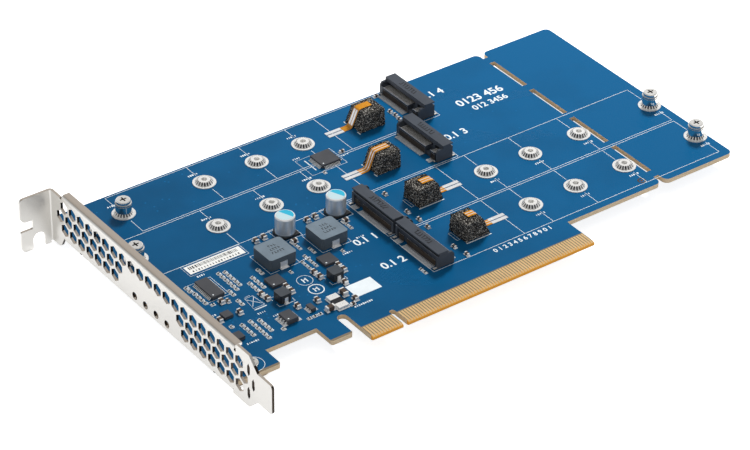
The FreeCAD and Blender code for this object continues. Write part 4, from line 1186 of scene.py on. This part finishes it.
class CARD_OT_stage(bpy.types.Operator):
    """Set the floor, the soft key light, the pale surroundings and the camera"""
    bl_idname = "card.stage"
    bl_label = "Stage"

    def execute(self, context):
        scene = context.scene
        self.floor(tuple(scene.card_colours.floor))
        self.key_light()
        scene.world = self.surroundings()
        scene.view_settings.view_transform = "Standard"
        scene.camera = self.camera()
        return {"FINISHED"}

    def floor(self, colour):
        """A square of floor, 6 m wide, just under the card."""
        half, gap = 3.0, 0.00002
        z = CAD_BOX[0][2] - gap
        mesh = bpy.data.meshes.new("studio_floor")
        mesh.from_pydata([(x, y, z) for x, y in ((-half, -half), (half, -half), (half, half), (-half, half))],
                         [], [(0, 1, 2, 3)])
        # Painted studio floor: matt, nearly white. It glows a little where seen directly, like white paper.
        material, tree, shader = new_material("floor paint, rolled matt", **{
            "Base Color": colour, "Roughness": 0.9, "Specular IOR Level": 0.1,
            "Emission Color": (1, 1, 1, 1)})
        rays = add_node(tree, "ShaderNodeLightPath").outputs
        seen = calc(tree, "MAXIMUM", rays["Is Camera Ray"], rays["Is Glossy Ray"])
        seen = calc(tree, "MAXIMUM", seen, rays["Is Transmission Ray"])
        wire(tree, shader, Emission_Strength=calc(tree, "MULTIPLY", seen, 0.85))
        mesh.materials.append(material)
        new_object("studio_floor", mesh)

    def key_light(self):
        """A soft disk of light, 0.9 m from the card on the right and behind."""
        light = bpy.data.lights.new("key_light", "AREA")
        light.shape = "DISK"
        light.size = 0.2
        light.energy = 9.0
        lamp = new_object("key_light", light)
        aim = Vector((0.05, 0.05, 0.0))
        lamp.location = aim + Vector((0.75, 0.67, 1.0)).normalized() * 0.9
        lamp.rotation_euler = (lamp.location - aim).to_track_quat("Z", "Y").to_euler()
        lamp.visible_glossy = False

    def surroundings(self):
        """A studio: white at the level of the table, dimmer walls half way up, a pale ceiling."""
        world = bpy.data.worlds.new("pale_surroundings")
        world.use_nodes = True
        tree = world.node_tree
        tree.nodes.clear()
        place = add_node(tree, "ShaderNodeTexCoord").outputs["Generated"]
        room = add_node(tree, "ShaderNodeFloatCurve", {"Value": split(tree, place)[2]})
        curve = room.mapping.curves[0]
        for point, level in zip(curve.points, ((0.0, 1.0), (1.0, 0.75))):
            point.location = level
        for height, level in ((0.2, 0.9), (0.48, 0.34), (0.6, 0.14), (0.72, 0.3), (0.86, 0.6)):
            curve.points.new(height, level)
        room.mapping.update()
        back = add_node(tree, "ShaderNodeBackground", {"Color": (1, 1, 1, 1), "Strength": room.outputs[0]})
        add_node(tree, "ShaderNodeOutputWorld", {"Surface": back.outputs[0]})
        return world

    def camera(self):
        """A long lens that looks down on the card from the bracket's end."""
        camera = bpy.data.cameras.new("camera")
        camera.sensor_width = 36.0
        camera.lens = 147.4
        camera.shift_x = 0.004
        camera.shift_y = -0.0016
        camera.clip_start = 0.05
        view = new_object("camera", camera)
        turn = Matrix(((0.80674, 0.32853, -0.49117), (-0.59084, 0.46160, -0.66169),
                       (0.00934, 0.82401, 0.56650)))
        view.matrix_world = Matrix.Translation((-0.44408, -0.58073, 0.53787)) @ turn.to_4x4()
        return view


class CARD_PT_panel(bpy.types.Panel):
    """Lists the card's sizes, colours and steps"""
    bl_label = "Adapter Card"
    bl_idname = "CARD_PT_panel"
    bl_space_type = "VIEW_3D"
    bl_region_type = "UI"
    bl_category = "Adapter Card"

    def draw(self, context):
        layout = self.layout
        for group in (context.scene.card_sizes, context.scene.card_colours):
            column = layout.column()
            for key in group.__annotations__:
                column.prop(group, key)
        for operator in STEPS:
            layout.operator(operator.bl_idname)


STEPS = (CARD_OT_materials, CARD_OT_stage, CARD_OT_board, CARD_OT_print, CARD_OT_bracket, CARD_OT_standoffs,
         CARD_OT_sockets, CARD_OT_foam, CARD_OT_power, CARD_OT_chips, CARD_OT_passives, CARD_OT_label)
CLASSES = (CardSizes, CardColours, *STEPS, CARD_PT_panel)


def register():
    for cls in CLASSES:
        bpy.utils.register_class(cls)
    bpy.types.Scene.card_sizes = bpy.props.PointerProperty(type=CardSizes)
    bpy.types.Scene.card_colours = bpy.props.PointerProperty(type=CardColours)


def unregister():
    del bpy.types.Scene.card_colours
    del bpy.types.Scene.card_sizes
    for cls in reversed(CLASSES):
        bpy.utils.unregister_class(cls)


def main():
    register()
    for operator in STEPS:
        group, name = operator.bl_idname.split(".")
        getattr(getattr(bpy.ops, group), name)()


if __name__ == "__main__":
    main()
